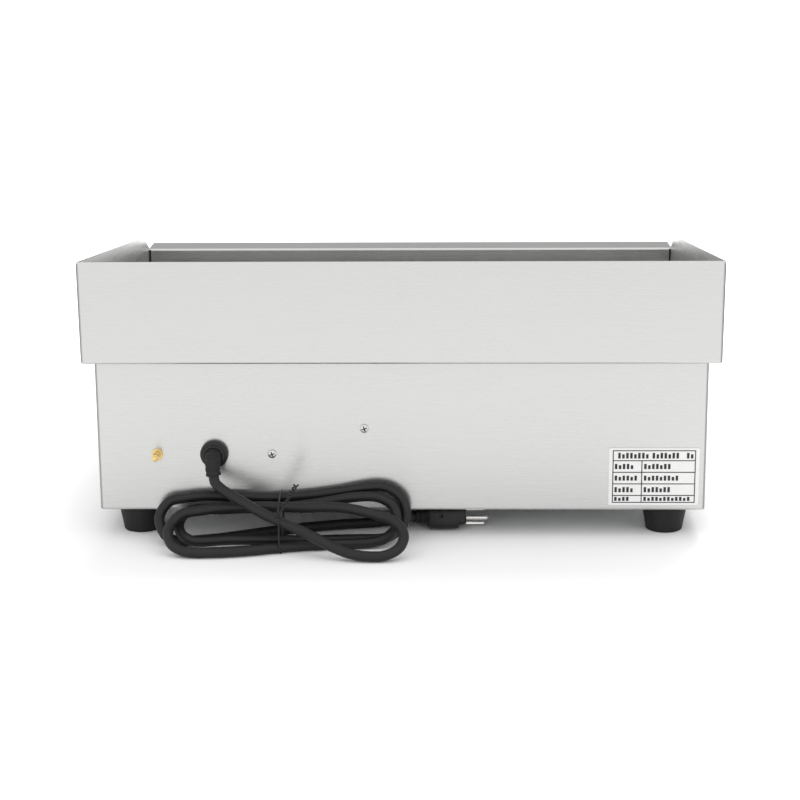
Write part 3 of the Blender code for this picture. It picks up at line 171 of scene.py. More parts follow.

# %% [markdown]
# ## A tube along a route
# A wire, cord or rod is a curve object with a bevel. Blender sweeps a circle along the spline, so
# one thickness value sets the whole piece and the ends are closed by the fill option. The curve
# stays a curve: its own line is the cord's centreline.

# %% Tube helper
def tube(name, route, radius, cyclic=False, rings=6, widths=None):
    curve = bpy.data.curves.new(name, "CURVE")
    curve.dimensions = "3D"
    curve.bevel_depth = radius
    curve.bevel_resolution = rings
    curve.use_fill_caps = True
    spline = curve.splines.new("POLY")
    spline.points.add(len(route) - 1)
    for index, (point, made) in enumerate(zip(route, spline.points)):
        made.co = (*point, 1)
        made.radius = widths[index] if widths else 1
    spline.use_cyclic_u = cyclic
    spline.use_smooth = True
    made = bpy.data.objects.new(name, curve)
    bpy.context.scene.collection.objects.link(made)
    return made


supply_cord = tube("supply_cord", cord_route, CORD_DIAMETER / 2)

# %% [markdown]
# ## Light, table and backdrop
# The appliance stands on a plain white sweep. A very large floor is the simplest sweep: it runs to
# the horizon on every side, so any view of the part has the same ground. The world gives soft
# light from all around. It fades towards the low sky on the appliance's front side, as the far
# wall of a studio does, so that the level surfaces have something darker to reflect. One large
# lamp, high up on the same side, lets the body shade the table just behind it. The lamp lights
# the table but is kept out of reflections, as a polarising filter does for a photographer.

# %% Light and floor
WORLD_BRIGHT = 1.28
WORLD_DIM = 0.50
DIM_LEAN = 0.85            # how strongly the fade leans towards the front side
FLOOR_HALF = 40.0
FLOOR_WHITE = 0.93
LAMP_SIDE = 1.6
LAMP_WATTS = 48.0
LAMP_PLACE = (-0.3, -1.3, 2.1)

world = bpy.data.worlds.new("studio")
bpy.context.scene.world = world
world.use_nodes = True
world_nodes, world_links = world.node_tree.nodes, world.node_tree.links
backdrop = world_nodes["Background"]
direction = world_nodes.new("ShaderNodeTexCoord")
lean = world_nodes.new("ShaderNodeVectorMath")
lean.operation = "DOT_PRODUCT"
lean.inputs[1].default_value = (0, DIM_LEAN, 1)
sky = world_nodes.new("ShaderNodeMapRange")
sky.interpolation_type = "SMOOTHSTEP"
for socket, value in zip(("From Min", "From Max", "To Min", "To Max"), (-0.3, 0.65, WORLD_DIM, WORLD_BRIGHT)):
    sky.inputs[socket].default_value = value
world_links.new(direction.outputs["Generated"], lean.inputs[0])
world_links.new(lean.outputs["Value"], sky.inputs["Value"])
world_links.new(sky.outputs["Result"], backdrop.inputs["Strength"])
backdrop.inputs["Color"].default_value = (1, 1, 1, 1)

softbox = bpy.data.lights.new("softbox", "AREA")
softbox.shape = "SQUARE"
softbox.size = LAMP_SIDE
softbox.energy = LAMP_WATTS
softbox_object = bpy.data.objects.new("softbox", softbox)
softbox_object.location = LAMP_PLACE
softbox_object.rotation_euler = (-Vector(LAMP_PLACE)).to_track_quat("-Z", "Y").to_euler()
bpy.context.scene.collection.objects.link(softbox_object)
softbox_object.visible_glossy = False

ground = bmesh.new()
bmesh.ops.create_grid(ground, x_segments=1, y_segments=1, size=FLOOR_HALF)
floor_mesh = bpy.data.meshes.new("floor")
ground.to_mesh(floor_mesh)
ground.free()
floor = bpy.data.objects.new("floor", floor_mesh)
bpy.context.scene.collection.objects.link(floor)
paper = bpy.data.materials.new("white_sweep")
paper.use_nodes = True
sweep = paper.node_tree.nodes["Principled BSDF"]
sweep.inputs["Base Color"].default_value = (FLOOR_WHITE,) * 3 + (1,)
sweep.inputs["Roughness"].default_value = 0.9
sweep.inputs["Specular IOR Level"].default_value = 0.0
floor_mesh.materials.append(paper)
print("floor", 2 * FLOOR_HALF, "m across")

# %% [markdown]
# ## Finishes
# Every finish below starts from the same small kit: a Principled shader, object coordinates scaled
# per axis, a noise texture, and a map range node that turns noise into a narrow band of values. The
# scale decides what the noise means. Stretched a hundred times along one axis it is the grain
# that an abrasive belt leaves; at a few waves per metre it is the faint unevenness of a sheet.

# %% Node kit
materials = {}


class Finish:
    """A Principled material and the few nodes that every finish here is made of."""

    def __init__(self, name, colour, roughness, metallic=0.0):
        self.material = bpy.data.materials.new(name)
        self.material.use_nodes = True
        self.nodes = self.material.node_tree.nodes
        self.links = self.material.node_tree.links
        self.shader = self.nodes["Principled BSDF"]
        self.set(**{"Base Color": (*colour, 1), "Roughness": roughness, "Metallic": metallic})
        self.colour = colour
        self.coordinates = self.nodes.new("ShaderNodeTexCoord")
        self.bumped = None
        materials[name] = self.material

    def set(self, **values):
        for socket, value in values.items():
            self.shader.inputs[socket].default_value = value

    def noise(self, scale, detail=3.0, rough=0.5):
        """Noise on object coordinates; scale is waves per metre along X, Y and Z."""
        mapping = self.nodes.new("ShaderNodeMapping")
        mapping.inputs["Scale"].default_value = scale
        texture = self.nodes.new("ShaderNodeTexNoise")
        texture.inputs["Scale"].default_value = 1.0
        texture.inputs["Detail"].default_value = detail
        texture.inputs["Roughness"].default_value = rough
        self.links.new(self.coordinates.outputs["Object"], mapping.inputs["Vector"])
        self.links.new(mapping.outputs[0], texture.inputs["Vector"])
        return texture.outputs["Fac"]

    def band(self, source, low, high, start=0.3, end=0.7):
        """Maps a texture's middle range to a range of plain numbers."""
        node = self.nodes.new("ShaderNodeMapRange")
        for socket, value in zip(("From Min", "From Max", "To Min", "To Max"), (start, end, low, high)):
            node.inputs[socket].default_value = value
        self.links.new(source, node.inputs["Value"])
        return node.outputs["Result"]

    def blend(self, factor, first, second):
        """Two colours mixed by a texture."""
        node = self.nodes.new("ShaderNodeMix")
        node.data_type = "RGBA"
        for socket, value in ((6, first), (7, second)):
            if isinstance(value, tuple):
                node.inputs[socket].default_value = (*value, 1)
            else:
                self.links.new(value, node.inputs[socket])
        self.links.new(factor, node.inputs[0])
        return node.outputs[2]

    def calc(self, kind, operation, *sources):
        """A Math or VectorMath node; each source is another node's output or a constant."""
        node = self.nodes.new(kind)
        node.operation = operation
        for socket, source in zip(node.inputs, sources):
            if isinstance(source, tuple):
                socket.default_value = source
            else:
                self.links.new(source, socket)
        return node.outputs[0]

    def drive(self, socket, source):
        self.links.new(source, self.shader.inputs[socket])

    def bump(self, source, depth, strength=1.0):
        node = self.nodes.new("ShaderNodeBump")
        node.inputs["Distance"].default_value = depth
        node.inputs["Strength"].default_value = strength
        self.links.new(source, node.inputs["Height"])
        if self.bumped:
            self.links.new(self.bumped, node.inputs["Normal"])
        self.bumped = node.outputs["Normal"]
        self.links.new(self.bumped, self.shader.inputs["Normal"])


def dimmer(colour, share):
    return tuple(value * share for value in colour)


print("node kit ready")

# %% [markdown]
# ## Brushed stainless steel
# Appliance sheet is ground on a belt before it is folded, so its grain is a set of fine lines that
# run along the sheet. On upright walls the lines lie level, and on a shelf they run left to right.
# Two stretched noises make the two directions, and the surface normal's Z picks between them. The
# lines move roughness, colour and a shallow bump by small amounts. A slow noise adds the hazy
# patches that handling leaves. Grooves blur a reflection across themselves much more than along
# themselves, so the shader is anisotropic, and its tangent is the surface direction that crosses
# the grooves: the normal crossed with the groove's own direction. Upright folds are drawn darker
# than the flats beside them: this is painted shade, for the dark line of shadow along each fold.
# Only there does the normal have both an X and a Y part, so their product finds them.

# %% Brushed steel
MATH, VECTOR_MATH = "ShaderNodeMath", "ShaderNodeVectorMath"
GRAIN_FINE, GRAIN_LONG = 2400, 7    # waves per metre, across the lines and along them
SMEAR = 0.7                         # how much further a reflection is blurred across the grooves
FINE_DEPTH = 0.00001


def brushed(name, colour, roughness, grain=0.02, haze=0.02, fold=0.45):
    steel = Finish(name, colour, roughness, 1.0)
    level = steel.noise((GRAIN_LONG, GRAIN_LONG, GRAIN_FINE), 2.0, 0.6)
    across = steel.noise((GRAIN_LONG, GRAIN_FINE, GRAIN_LONG), 2.0, 0.6)
    normal = steel.nodes.new("ShaderNodeNewGeometry").outputs["Normal"]
    split = steel.nodes.new("ShaderNodeSeparateXYZ")
    steel.links.new(normal, split.inputs[0])
    upward = steel.calc(MATH, "ABSOLUTE", split.outputs["Z"])
    mixed = steel.nodes.new("ShaderNodeMix")
    for socket, source in ((0, upward), (2, level), (3, across)):
        steel.links.new(source, mixed.inputs[socket])
    lines = mixed.outputs[0]
    patches = steel.noise((9, 9, 14), 4.0, 0.55)
    tone = steel.blend(steel.band(lines, 0, 1), dimmer(colour, 1 - grain), dimmer(colour, 1 + grain))
    shade = steel.blend(steel.band(patches, 0, 1), dimmer(colour, 1 - haze), dimmer(colour, 1 + haze / 2))
    both = steel.nodes.new("ShaderNodeMix")
    both.data_type = "RGBA"
    both.inputs[0].default_value = 0.5
    steel.links.new(tone, both.inputs[6])
    steel.links.new(shade, both.inputs[7])
    steel.drive("Roughness", steel.calc(MATH, "ADD", steel.band(lines, roughness - 0.02, roughness + 0.02),
                                        steel.band(patches, -0.01, 0.015)))
    steel.bump(lines, FINE_DEPTH, 0.12)
    level_groove = steel.nodes.new("ShaderNodeCombineXYZ")
    steel.links.new(upward, level_groove.inputs["X"])
    groove = steel.calc(VECTOR_MATH, "ADD", steel.calc(VECTOR_MATH, "CROSS_PRODUCT", (0, 0, 1), normal),
                        level_groove.outputs[0])
    steel.drive("Tangent", steel.calc(VECTOR_MATH, "CROSS_PRODUCT", normal, groove))
    steel.set(Anisotropic=SMEAR)
    # Painted shade on the upright folds: fold is the share of the colour kept there, 1 for none.
    bent = steel.calc(MATH, "ABSOLUTE", steel.calc(MATH, "MULTIPLY", split.outputs["X"], split.outputs["Y"]))
    painted_fold_shade = steel.nodes.new("ShaderNodeVectorMath")
    painted_fold_shade.operation = "SCALE"
    steel.links.new(both.outputs[2], painted_fold_shade.inputs[0])
    steel.links.new(steel.band(bent, 1, fold, 0.05, 0.35), painted_fold_shade.inputs["Scale"])
    steel.drive("Base Color", painted_fold_shade.outputs[0])
    return steel


brushed("brushed_steel", (0.57, 0.57, 0.562), 0.28)
brushed("polished_rod", (0.67, 0.67, 0.662), 0.24, fold=1.0)
brushed("galvanised_sheet", (0.55, 0.56, 0.57), 0.48, 0.03, 0.16)
print("steel:", [name for name in materials])

# %% [markdown]
# ## The cooking plate's finish
# The plate is ground steel that has been heated and oiled, so it is darker than the guard and has
# a mottled straw and grey bloom. A coarse noise gives the bloom and a stretched one the marks of
# the grinding wheel, which run front to back.

# %% Plate steel
plate_steel = Finish("griddle_steel", (0.20, 0.20, 0.205), 0.38, 1.0)
grind = plate_steel.noise((1500, 10, 10), 2.0, 0.6)
bloom = plate_steel.noise((16, 12, 10), 5.0, 0.6)
seasoned = plate_steel.blend(plate_steel.band(bloom, 0, 1), (0.16, 0.155, 0.15), (0.26, 0.255, 0.25))
plate_steel.drive("Base Color", seasoned)
plate_steel.drive("Roughness", plate_steel.band(grind, 0.30, 0.46))
plate_steel.bump(grind, FINE_DEPTH, 0.4)
print("plate finish ready")

# %% [markdown]
# ## Small metals
# Screws, rails and clamps are zinc plated, the plug's pins are nickel plated, the earth screw is
# brass, and the sensor is copper. They differ only in colour and polish, so one function makes
# them all: a fine noise for the plating's grain and a slow one for tarnish, which darkens the
# colour and dulls it.

# %% Plated and solid metals
def plated(name, colour, roughness, tarnish=0.25):
    metal = Finish(name, colour, roughness, 1.0)
    dull = metal.noise((160, 160, 160), 4.0, 0.6)
    metal.drive("Base Color", metal.blend(metal.band(dull, 0, 1), dimmer(colour, 1 - tarnish), colour))
    metal.drive("Roughness", metal.band(dull, roughness + 0.12, roughness - 0.04))
    metal.bump(metal.noise((1800, 1800, 1800)), FINE_DEPTH, 0.3)
    return metal


plated("zinc_plated", (0.66, 0.66, 0.64), 0.26)
plated("nickel_plated", (0.72, 0.71, 0.68), 0.20, 0.15)
plated("brass", (0.80, 0.60, 0.27), 0.26, 0.22)
plated("copper", (0.76, 0.42, 0.27), 0.32)
plated("element_sheath", (0.20, 0.19, 0.17), 0.42, 0.4)
print(len(materials), "finishes so far")

# %% [markdown]
# ## Rubber, mouldings and films
# Black parts are never quite black: a mould leaves a fine spark-eroded texture, and handling
# leaves lighter scuffs. The same function covers the feet, the gland, the knob and the printed
# films, with its own colour, roughness and texture size for each.

# %% Moulded materials
def moulded(name, colour, roughness, scuff=0.35, texel=2600, depth=0.00002, gloss=0.35):
    made = Finish(name, colour, roughness)
    wear = made.noise((70, 70, 70), 5.0, 0.65)
    lighter = tuple(min(1.0, value * (1 + scuff)) for value in colour)
    made.drive("Base Color", made.blend(made.band(wear, 0, 1, 0.45, 0.8), colour, lighter))
    made.drive("Roughness", made.band(wear, roughness - 0.05, roughness + 0.08))
    made.bump(made.noise((texel, texel, texel), 2.0), depth, 0.5)
    made.set(**{"Specular IOR Level": gloss})
    return made


moulded("black_moulding", (0.008, 0.008, 0.009), 0.42)
moulded("tie_wire", (0.012, 0.012, 0.013), 0.34)
moulded("black_rubber", (0.006, 0.006, 0.0065), 0.62)
moulded("cord_jacket", (0.007, 0.007, 0.008), 0.46, 0.25, 1500)
moulded("ceramic", (0.80, 0.78, 0.72), 0.35, 0.06)
moulded("label_film", (0.72, 0.72, 0.71), 0.42, 0.05, 900, FINE_DEPTH)
moulded("dial_print", (0.78, 0.78, 0.77), 0.40, 0.06, 900, FINE_DEPTH)
moulded("label_ink", (0.020, 0.020, 0.022), 0.45)
moulded("wire_insulation", (0.72, 0.71, 0.66), 0.75, 0.2, 900, 0.0001)
moulded("ceramic_wool", (0.82, 0.80, 0.74), 0.95, 0.15, 260, 0.0015)
print(len(materials), "finishes so far")

# %% [markdown]
# ## Coloured lamp lenses
# A pilot lamp's lens is a clear tinted cap over a dark hole. Full transmission would show that
# hole and look nearly black, so half of the colour comes from the body of the plastic and half
# passes through it, with a coat for the hard polish.

# %% Lens plastic
def lens_plastic(name, colour):
    made = Finish(name, colour, 0.16)
    cloud = made.noise((300, 300, 300))
    made.drive("Base Color", made.blend(made.band(cloud, 0, 1), colour, dimmer(colour, 0.8)))
    made.drive("Roughness", made.band(cloud, 0.10, 0.22))
    made.set(**{"Transmission Weight": 0.35, "IOR": 1.49, "Coat Weight": 0.6})
    return made


lens_plastic("red_lens", (0.62, 0.02, 0.015))
lens_plastic("green_lens", (0.03, 0.42, 0.09))
print(sorted(materials))

# %% [markdown]
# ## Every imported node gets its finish
# The record names a material slot for each node, and the finishes above carry the same names, so a
# loop can give each node its own. Nodes that a finer piece stands for are hidden later on.

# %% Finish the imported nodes
record_slots = {row["node"]: row["material_slot"] for row in frame["record"]["subparts"]}
for node, owner in frame["nodes"].items():
    owner.data.materials.clear()
    owner.data.materials.append(materials[record_slots[node]])
print(len(record_slots), "nodes finished")

# %% [markdown]
# ## From bmesh to a riding piece
# Each new piece is drawn in a bmesh, in the appliance's own frame. One function turns it into an
# object: it welds doubles, recalculates the normals of closed shapes, shades it smooth with
# sharp edges kept, gives it its finish and lets it ride on the body it is fixed to. A folded
# sheet is open, so its normals stay as its folds made them.

# %% Piece helper
def piece(name, bm, finish, body="body", stands_for=(), closed=True, sharp=35):
    bmesh.ops.remove_doubles(bm, verts=bm.verts, dist=0.000002)
    if closed:
        bmesh.ops.recalc_face_normals(bm, faces=bm.faces)
    for edge in bm.edges:
        edge.smooth = edge.is_manifold and edge.calc_face_angle(0) < math.radians(sharp)
    for face in bm.faces:
        face.smooth = True
    mesh = bpy.data.meshes.new(name)
    bm.to_mesh(mesh)
    bm.free()
    made = bpy.data.objects.new(name, mesh)
    bpy.context.scene.collection.objects.link(made)
    return settle(made, finish, body, stands_for)


def settle(made, finish, body="body", stands_for=()):
    """Gives an object its finish and its body, and hides the nodes it stands for."""
    made.data.materials.clear()
    made.data.materials.append(materials[finish])
    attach(made, body)
    if stands_for:
        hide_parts(*stands_for)
    return made


settle(supply_cord, "cord_jacket", stands_for=("cord_lead", "cord_hank", "cord_tail"))
print("the cord stands for its packed nodes")

# %% [markdown]
# ## Folding sheet
# The guard and the body shell are the same kind of thing: three walls with rounded corners and a
# flange folded in along the bottom. The walls start as a cube without its top, front and bottom.
# The rear corners are bevelled into bends. Then the lower edge is extruded a few degrees at a time
# round a quarter circle, and once more to make the flange. Solidify gives the sheet its thickness.
#
# An extruded edge has to know which way is inwards, also in a rounded corner. Shrink the outline
# by the bend radius and look towards the nearest point of it: on a flat wall that is straight
# across, and in a bend it is the centre of the arc.

# %% Folding helpers
UP = Vector((0, 0, 1))
BEND = 0.0025
MARGIN = 0.0004            # from a bend to the scored line beside it
SOFT_EDGE = 0.00025


def cube_between(low, high):
    bm = bmesh.new()
    low, high = Vector(low), Vector(high)
    where = Matrix.Translation((low + high) / 2) @ Matrix.Diagonal((*(high - low), 1))
    bmesh.ops.create_cube(bm, size=1, matrix=where)
    return bm


def open_towards(bm, *directions):
    """Removes the faces that look in these directions."""
    bm.normal_update()
    gone = [f for f in bm.faces if any(f.normal.dot(Vector(d)) > 0.9 for d in directions)]
    bmesh.ops.delete(bm, geom=gone, context="FACES")


def slice_off(bm, point, normal):
    """Cuts a bmesh at a plane and drops what lies on the side of the normal."""
    everything = [*bm.verts, *bm.edges, *bm.faces]
    bmesh.ops.bisect_plane(bm, geom=everything, plane_co=point, plane_no=normal, clear_outer=True)


def score(bm, *planes):
    """Adds lines where planes cross a bmesh, beside a bend, so that only the bend is shaded round."""
    for point, normal in planes:
        everything = [*bm.verts, *bm.edges, *bm.faces]
        bmesh.ops.bisect_plane(bm, geom=everything, plane_co=point, plane_no=normal)


def round_edges(bm, chosen, radius, segments=5):
    bmesh.ops.bevel(
        bm, geom=chosen, offset=radius, segments=segments, profile=0.5, affect="EDGES", material=-1
    )


def edges_where(bm, test):
    return [edge for edge in bm.edges if test(*(vert.co for vert in edge.verts))]


def near(first, second, reach=0.00001):
    return abs(first - second) < reach


def pull_out(bm, edges, moved):
    """Extrudes boundary edges; moved gives each new corner's place. Returns the new edges."""
    made = bmesh.ops.extrude_edge_only(bm, edges=edges)["geom"]
    corners = [item for item in made if isinstance(item, bmesh.types.BMVert)]
    for corner in corners:
        corner.co = moved(corner.co)
    fresh = set(corners)
    return [e for e in made if isinstance(e, bmesh.types.BMEdge) and set(e.verts) <= fresh]


def inwards(place, half, rear):
    """The level direction from a wall with rounded corners to its inside."""
    inner = Vector((max(BEND - half, min(half - BEND, place.x)), min(rear - BEND, place.y)))
    return (inner - place.xy).to_3d().normalized()


def roll_in(bm, edges, half, rear, radius, turn_angle, upwards, steps=6):
    """Rolls boundary edges inwards round an arc, as a press brake does."""
    for step in range(steps):
        here, there = turn_angle * step / steps, turn_angle * (step + 1) / steps
        across = radius * (math.cos(here) - math.cos(there))
        rise = upwards * radius * (math.sin(there) - math.sin(here))
        edges = pull_out(bm, edges, lambda co: co + inwards(co, half, rear) * across + UP * rise)
    return edges


def walls(low, high, flange, cuts=()):
    """Three walls, sliced at the given planes, with a flange folded in along the bottom."""
    bm = cube_between((low.x, low.y, low.z + BEND), high)
    open_towards(bm, (0, -1, 0), (0, 0, 1), (0, 0, -1))
    for point, normal in cuts:
        slice_off(bm, point, normal)
    rear_bends = edges_where(bm, lambda a, b: near(a.x, b.x) and near(a.y, high.y) and near(b.y, high.y))
    round_edges(bm, rear_bends, BEND)
    x, y, z = high.x - BEND - MARGIN, high.y - BEND - MARGIN, low.z + BEND + MARGIN
    score(bm, ((x, 0, 0), (1, 0, 0)), ((-x, 0, 0), (1, 0, 0)), ((0, y, 0), (0, 1, 0)), ((0, 0, z), UP))
    lower = edges_where(bm, lambda a, b: near(a.z, low.z + BEND) and near(b.z, low.z + BEND))
    lower = roll_in(bm, lower, high.x, high.y, BEND, math.pi / 2, -1)
    pull_out(bm, lower, lambda co: Vector((
        math.copysign(min(abs(co.x), high.x - flange), co.x), min(co.y, high.y - flange), co.z)))
    return bm


def thicken(made, thickness, soft=0.0):
    """Solidify towards the inside, with a fine round on the cut edges when asked for."""
    sheet = made.modifiers.new("sheet", "SOLIDIFY")
    sheet.thickness = thickness
    sheet.offset = -1
    sheet.use_even_offset = True
    if soft:
        deburred = made.modifiers.new("deburred", "BEVEL")
        deburred.width = soft
        deburred.segments = 2
        deburred.limit_method = "ANGLE"
        deburred.angle_limit = math.radians(60)
    return made


print("folding helpers ready")

# %% [markdown]
# ## The splash guard
# Two planes slice the cheeks to their slope. The cheeks keep a plain cut edge, but the long
# rear edge is hemmed: the sheet is turned back on itself, which stiffens it. The hem is the top
# edge rolled round a half circle and taken a few millimetres down the inside.

# %% Guard sheet
GUARD_SHEET = 0.0011
FLANGE = 0.022
HEM_DROP = 0.007
CHEEK_DEPTH = 0.375      # from the rear to the cheek's clipped corner
CHEEK_Z = 0.207

guard_low, guard_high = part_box("splash_guard")
ledge_low, ledge_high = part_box("front_ledge")
half_guard, guard_rear, rim_z = guard_high.x, guard_high.y, guard_high.z
seam_y, cheek_y = guard_low.y, guard_high.y - CHEEK_DEPTH
hem_radius = GUARD_SHEET + 0.00005
slope = (rim_z - CHEEK_Z) / CHEEK_DEPTH
clip = (CHEEK_Z - ledge_high.z) / (cheek_y - seam_y)
guard = walls(guard_low, guard_high, FLANGE, cuts=(
    ((0, guard_rear, rim_z), (0, -slope, 1)),
    ((0, cheek_y, CHEEK_Z), (0, -clip, 1)),
))
for corner in guard.verts:
    if corner.co.y > guard_rear - BEND + 0.0001 and corner.co.z > CHEEK_Z:
        corner.co.z = rim_z - hem_radius
score(guard, ((0, 0, rim_z - hem_radius - MARGIN), UP))
rim = edges_where(guard, lambda a, b: near(a.z, rim_z - hem_radius) and near(b.z, rim_z - hem_radius))
rim = roll_in(guard, rim, half_guard, guard_rear, hem_radius, math.pi, 1)
pull_out(guard, rim, lambda co: co - UP * HEM_DROP)
guard_sheet = piece("guard_sheet", guard, "brushed_steel", stands_for=("splash_guard",), closed=False)
thicken(guard_sheet, GUARD_SHEET)
print("guard:", len(guard_sheet.data.polygons), "faces")

# %% [markdown]
# ## The front ledge
# The ledge is a long cover with its underside open: a box with its bottom taken off. The two long
# upper folds get a generous radius, which catches a thin line of light along the whole ledge.

# %% Ledge sheet
LEDGE_BEND = 0.0022
ledge = cube_between(ledge_low, ledge_high)
open_towards(ledge, (0, 0, -1))
round_edges(ledge, edges_where(ledge, lambda a, b: near(a.z, b.z) and near(a.y, b.y)
                               and near(a.z, ledge_high.z)), LEDGE_BEND)
fold = LEDGE_BEND + MARGIN
score(ledge, ((0, 0, ledge_high.z - fold), UP), ((0, ledge_low.y + fold, 0), (0, 1, 0)),
      ((0, ledge_high.y - fold, 0), (0, 1, 0)))
ledge_sheet = piece("ledge_sheet", ledge, "brushed_steel", stands_for=("front_ledge",), closed=False)
thicken(ledge_sheet, GUARD_SHEET, SOFT_EDGE)
print("ledge:", len(ledge_sheet.data.polygons), "faces")

# %% [markdown]
# Where a cheek meets the ledge's rear wall a dark line of shadow runs from the ledge's top down to
# the plate. It could be a narrow gap or its shadow. No gap is cut here: a slim dark strip of
# painted shadow stands for the line. No gap is cut here: a slim dark strip stands for the line.

# %% Painted shadow lines beside the ledge
JOINT_SHADOW_HALF = 0.0006
JOINT_SHADOW_DROP = 0.019
# Each strip is painted shadow in a dark finish.
for side in (-1, 1):
    joint_shadow_x = side * (half_guard - GUARD_SHEET - JOINT_SHADOW_HALF)
    joint_shadow = cube_between((joint_shadow_x - JOINT_SHADOW_HALF, ledge_high.y - 0.0004, ledge_high.z - JOINT_SHADOW_DROP),
                         (joint_shadow_x + JOINT_SHADOW_HALF, ledge_high.y + 0.0004, ledge_high.z - LEDGE_BEND / 2))
    piece("joint_shadow_left" if side < 0 else "joint_shadow_right", joint_shadow, "black_moulding")

# %% [markdown]
# ## The body shell
# One sheet makes the left side, the rear panel and the right side, with a lip turned in along the
# bottom for the base panel's screws. The same function folds it.

# %% Body sheet
BODY_SHEET = 0.001
BODY_LIP = 0.010
body_low, body_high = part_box("body_shell")
panel_y = body_high.y
body_sheet = piece("body_sheet", walls(body_low, body_high, BODY_LIP), "brushed_steel",
                   stands_for=("body_shell",), closed=False)
thicken(body_sheet, BODY_SHEET)
print("body:", len(body_sheet.data.polygons), "faces")

# %% [markdown]
# ## Turned parts
# Feet, screws, the gland and the lamps are round, so each is a half outline spun about its own
# axis. The outline is drawn flat, as (radius, height) pairs, spun about Z with the seam merged,
# and only then turned to face the rear and moved into place.

# %% Turned helper
TO_REAR = turn(-90, "X")       # local +Z becomes +Y
TO_FRONT = turn(90, "X")       # local +Z becomes -Y


def arc(centre, radius, start, end, steps=6):
    """Points of a round corner in an outline, angles in degrees."""
    for step in range(steps + 1):
        angle = math.radians(start + (end - start) * step / steps)
        yield (centre[0] + radius * math.cos(angle), centre[1] + radius * math.sin(angle))


def turned(outline, where, facing=Matrix.Identity(4), steps=64):
    """A half outline of (radius, height) points, spun and placed."""
    bm = bmesh.new()
    corners = [bm.verts.new((radius, 0, rise)) for radius, rise in outline]
    line = [bm.edges.new(pair) for pair in zip(corners, corners[1:])]
    bmesh.ops.spin(bm, geom=[*corners, *line], cent=(0, 0, 0), axis=UP, angle=2 * math.pi,
                   steps=steps, use_merge=True)
    bmesh.ops.remove_doubles(bm, verts=bm.verts, dist=0.000002)
    bmesh.ops.transform(bm, matrix=Matrix.Translation(where) @ facing, verts=bm.verts)
    return bm


def centre_of(node):
    low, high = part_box(node)
    return (low + high) / 2


print("turned helper ready")

# %% [markdown]
# ## Rubber feet
# A foot is a tapered plug of rubber with a thin flange under the base, softly rounded where it
# meets the table and hollow in the middle for its screw.

# %% Feet
FOOT_FLANGE = 0.0024
FOOT_SOFT = 0.0016
FOOT_HOLLOW = 0.0075
for corner in ("front_left", "front_right", "rear_left", "rear_right"):
    low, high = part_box(f"foot_{corner}")
    middle = (low + high) / 2
    top_radius, tall = (high.x - low.x) / 2, high.z
    toe = top_radius * 0.786
    outline = [
        (0.003, tall), (top_radius - 0.0006, tall),
        *arc((top_radius - 0.0008, tall - 0.0008), 0.0008, 70, 0, 3),
        (top_radius, tall - FOOT_FLANGE), (top_radius - 0.0009, tall - FOOT_FLANGE - 0.0006),
        *arc((toe - FOOT_SOFT, FOOT_SOFT), FOOT_SOFT, 8, -90),
        (FOOT_HOLLOW + 0.001, 0), *arc((FOOT_HOLLOW + 0.001, 0.001), 0.001, 270, 180, 3),
        (FOOT_HOLLOW, tall - 0.011), (0.003, tall - 0.011), (0.003, tall),
    ]
    foot = turned(outline, (middle.x, middle.y, 0))
    piece(f"rubber_foot_{corner}", foot, "black_rubber", stands_for=(f"foot_{corner}",))
print("foot:", round(top_radius, 4), "m at the top,", round(toe, 4), "m at the toe")

# %% [markdown]
# ## Pan head screws
# The head is a shallow dome and the driver's recess is a cross cut into it. A cross cut out of a
# dome is the natural job for a Boolean: two thin blocks are cut away, and the cutters are thrown away. The
# recess floor is painted shade: a flat dark cross in it stands for the shadow deep in the cut.

# %% Screws
def carve(made, *cutters):
    """Cuts shapes, given as bmeshes, out of a finished piece for good."""
    for cutter in cutters:
        mesh = bpy.data.meshes.new("cutter")
        cutter.to_mesh(mesh)
        cutter.free()
        tool = bpy.data.objects.new("cutter", mesh)
        bpy.context.scene.collection.objects.link(tool)
        step = made.modifiers.new("cut", "BOOLEAN")
        step.object = tool
        step.solver = "EXACT"
        bpy.context.view_layer.update()
        result = bpy.data.meshes.new_from_object(made.evaluated_get(bpy.context.evaluated_depsgraph_get()))
        made.modifiers.remove(step)
        made.data = result
        bpy.data.objects.remove(tool)
    made.data.set_sharp_from_angle(angle=math.radians(35))
    return made


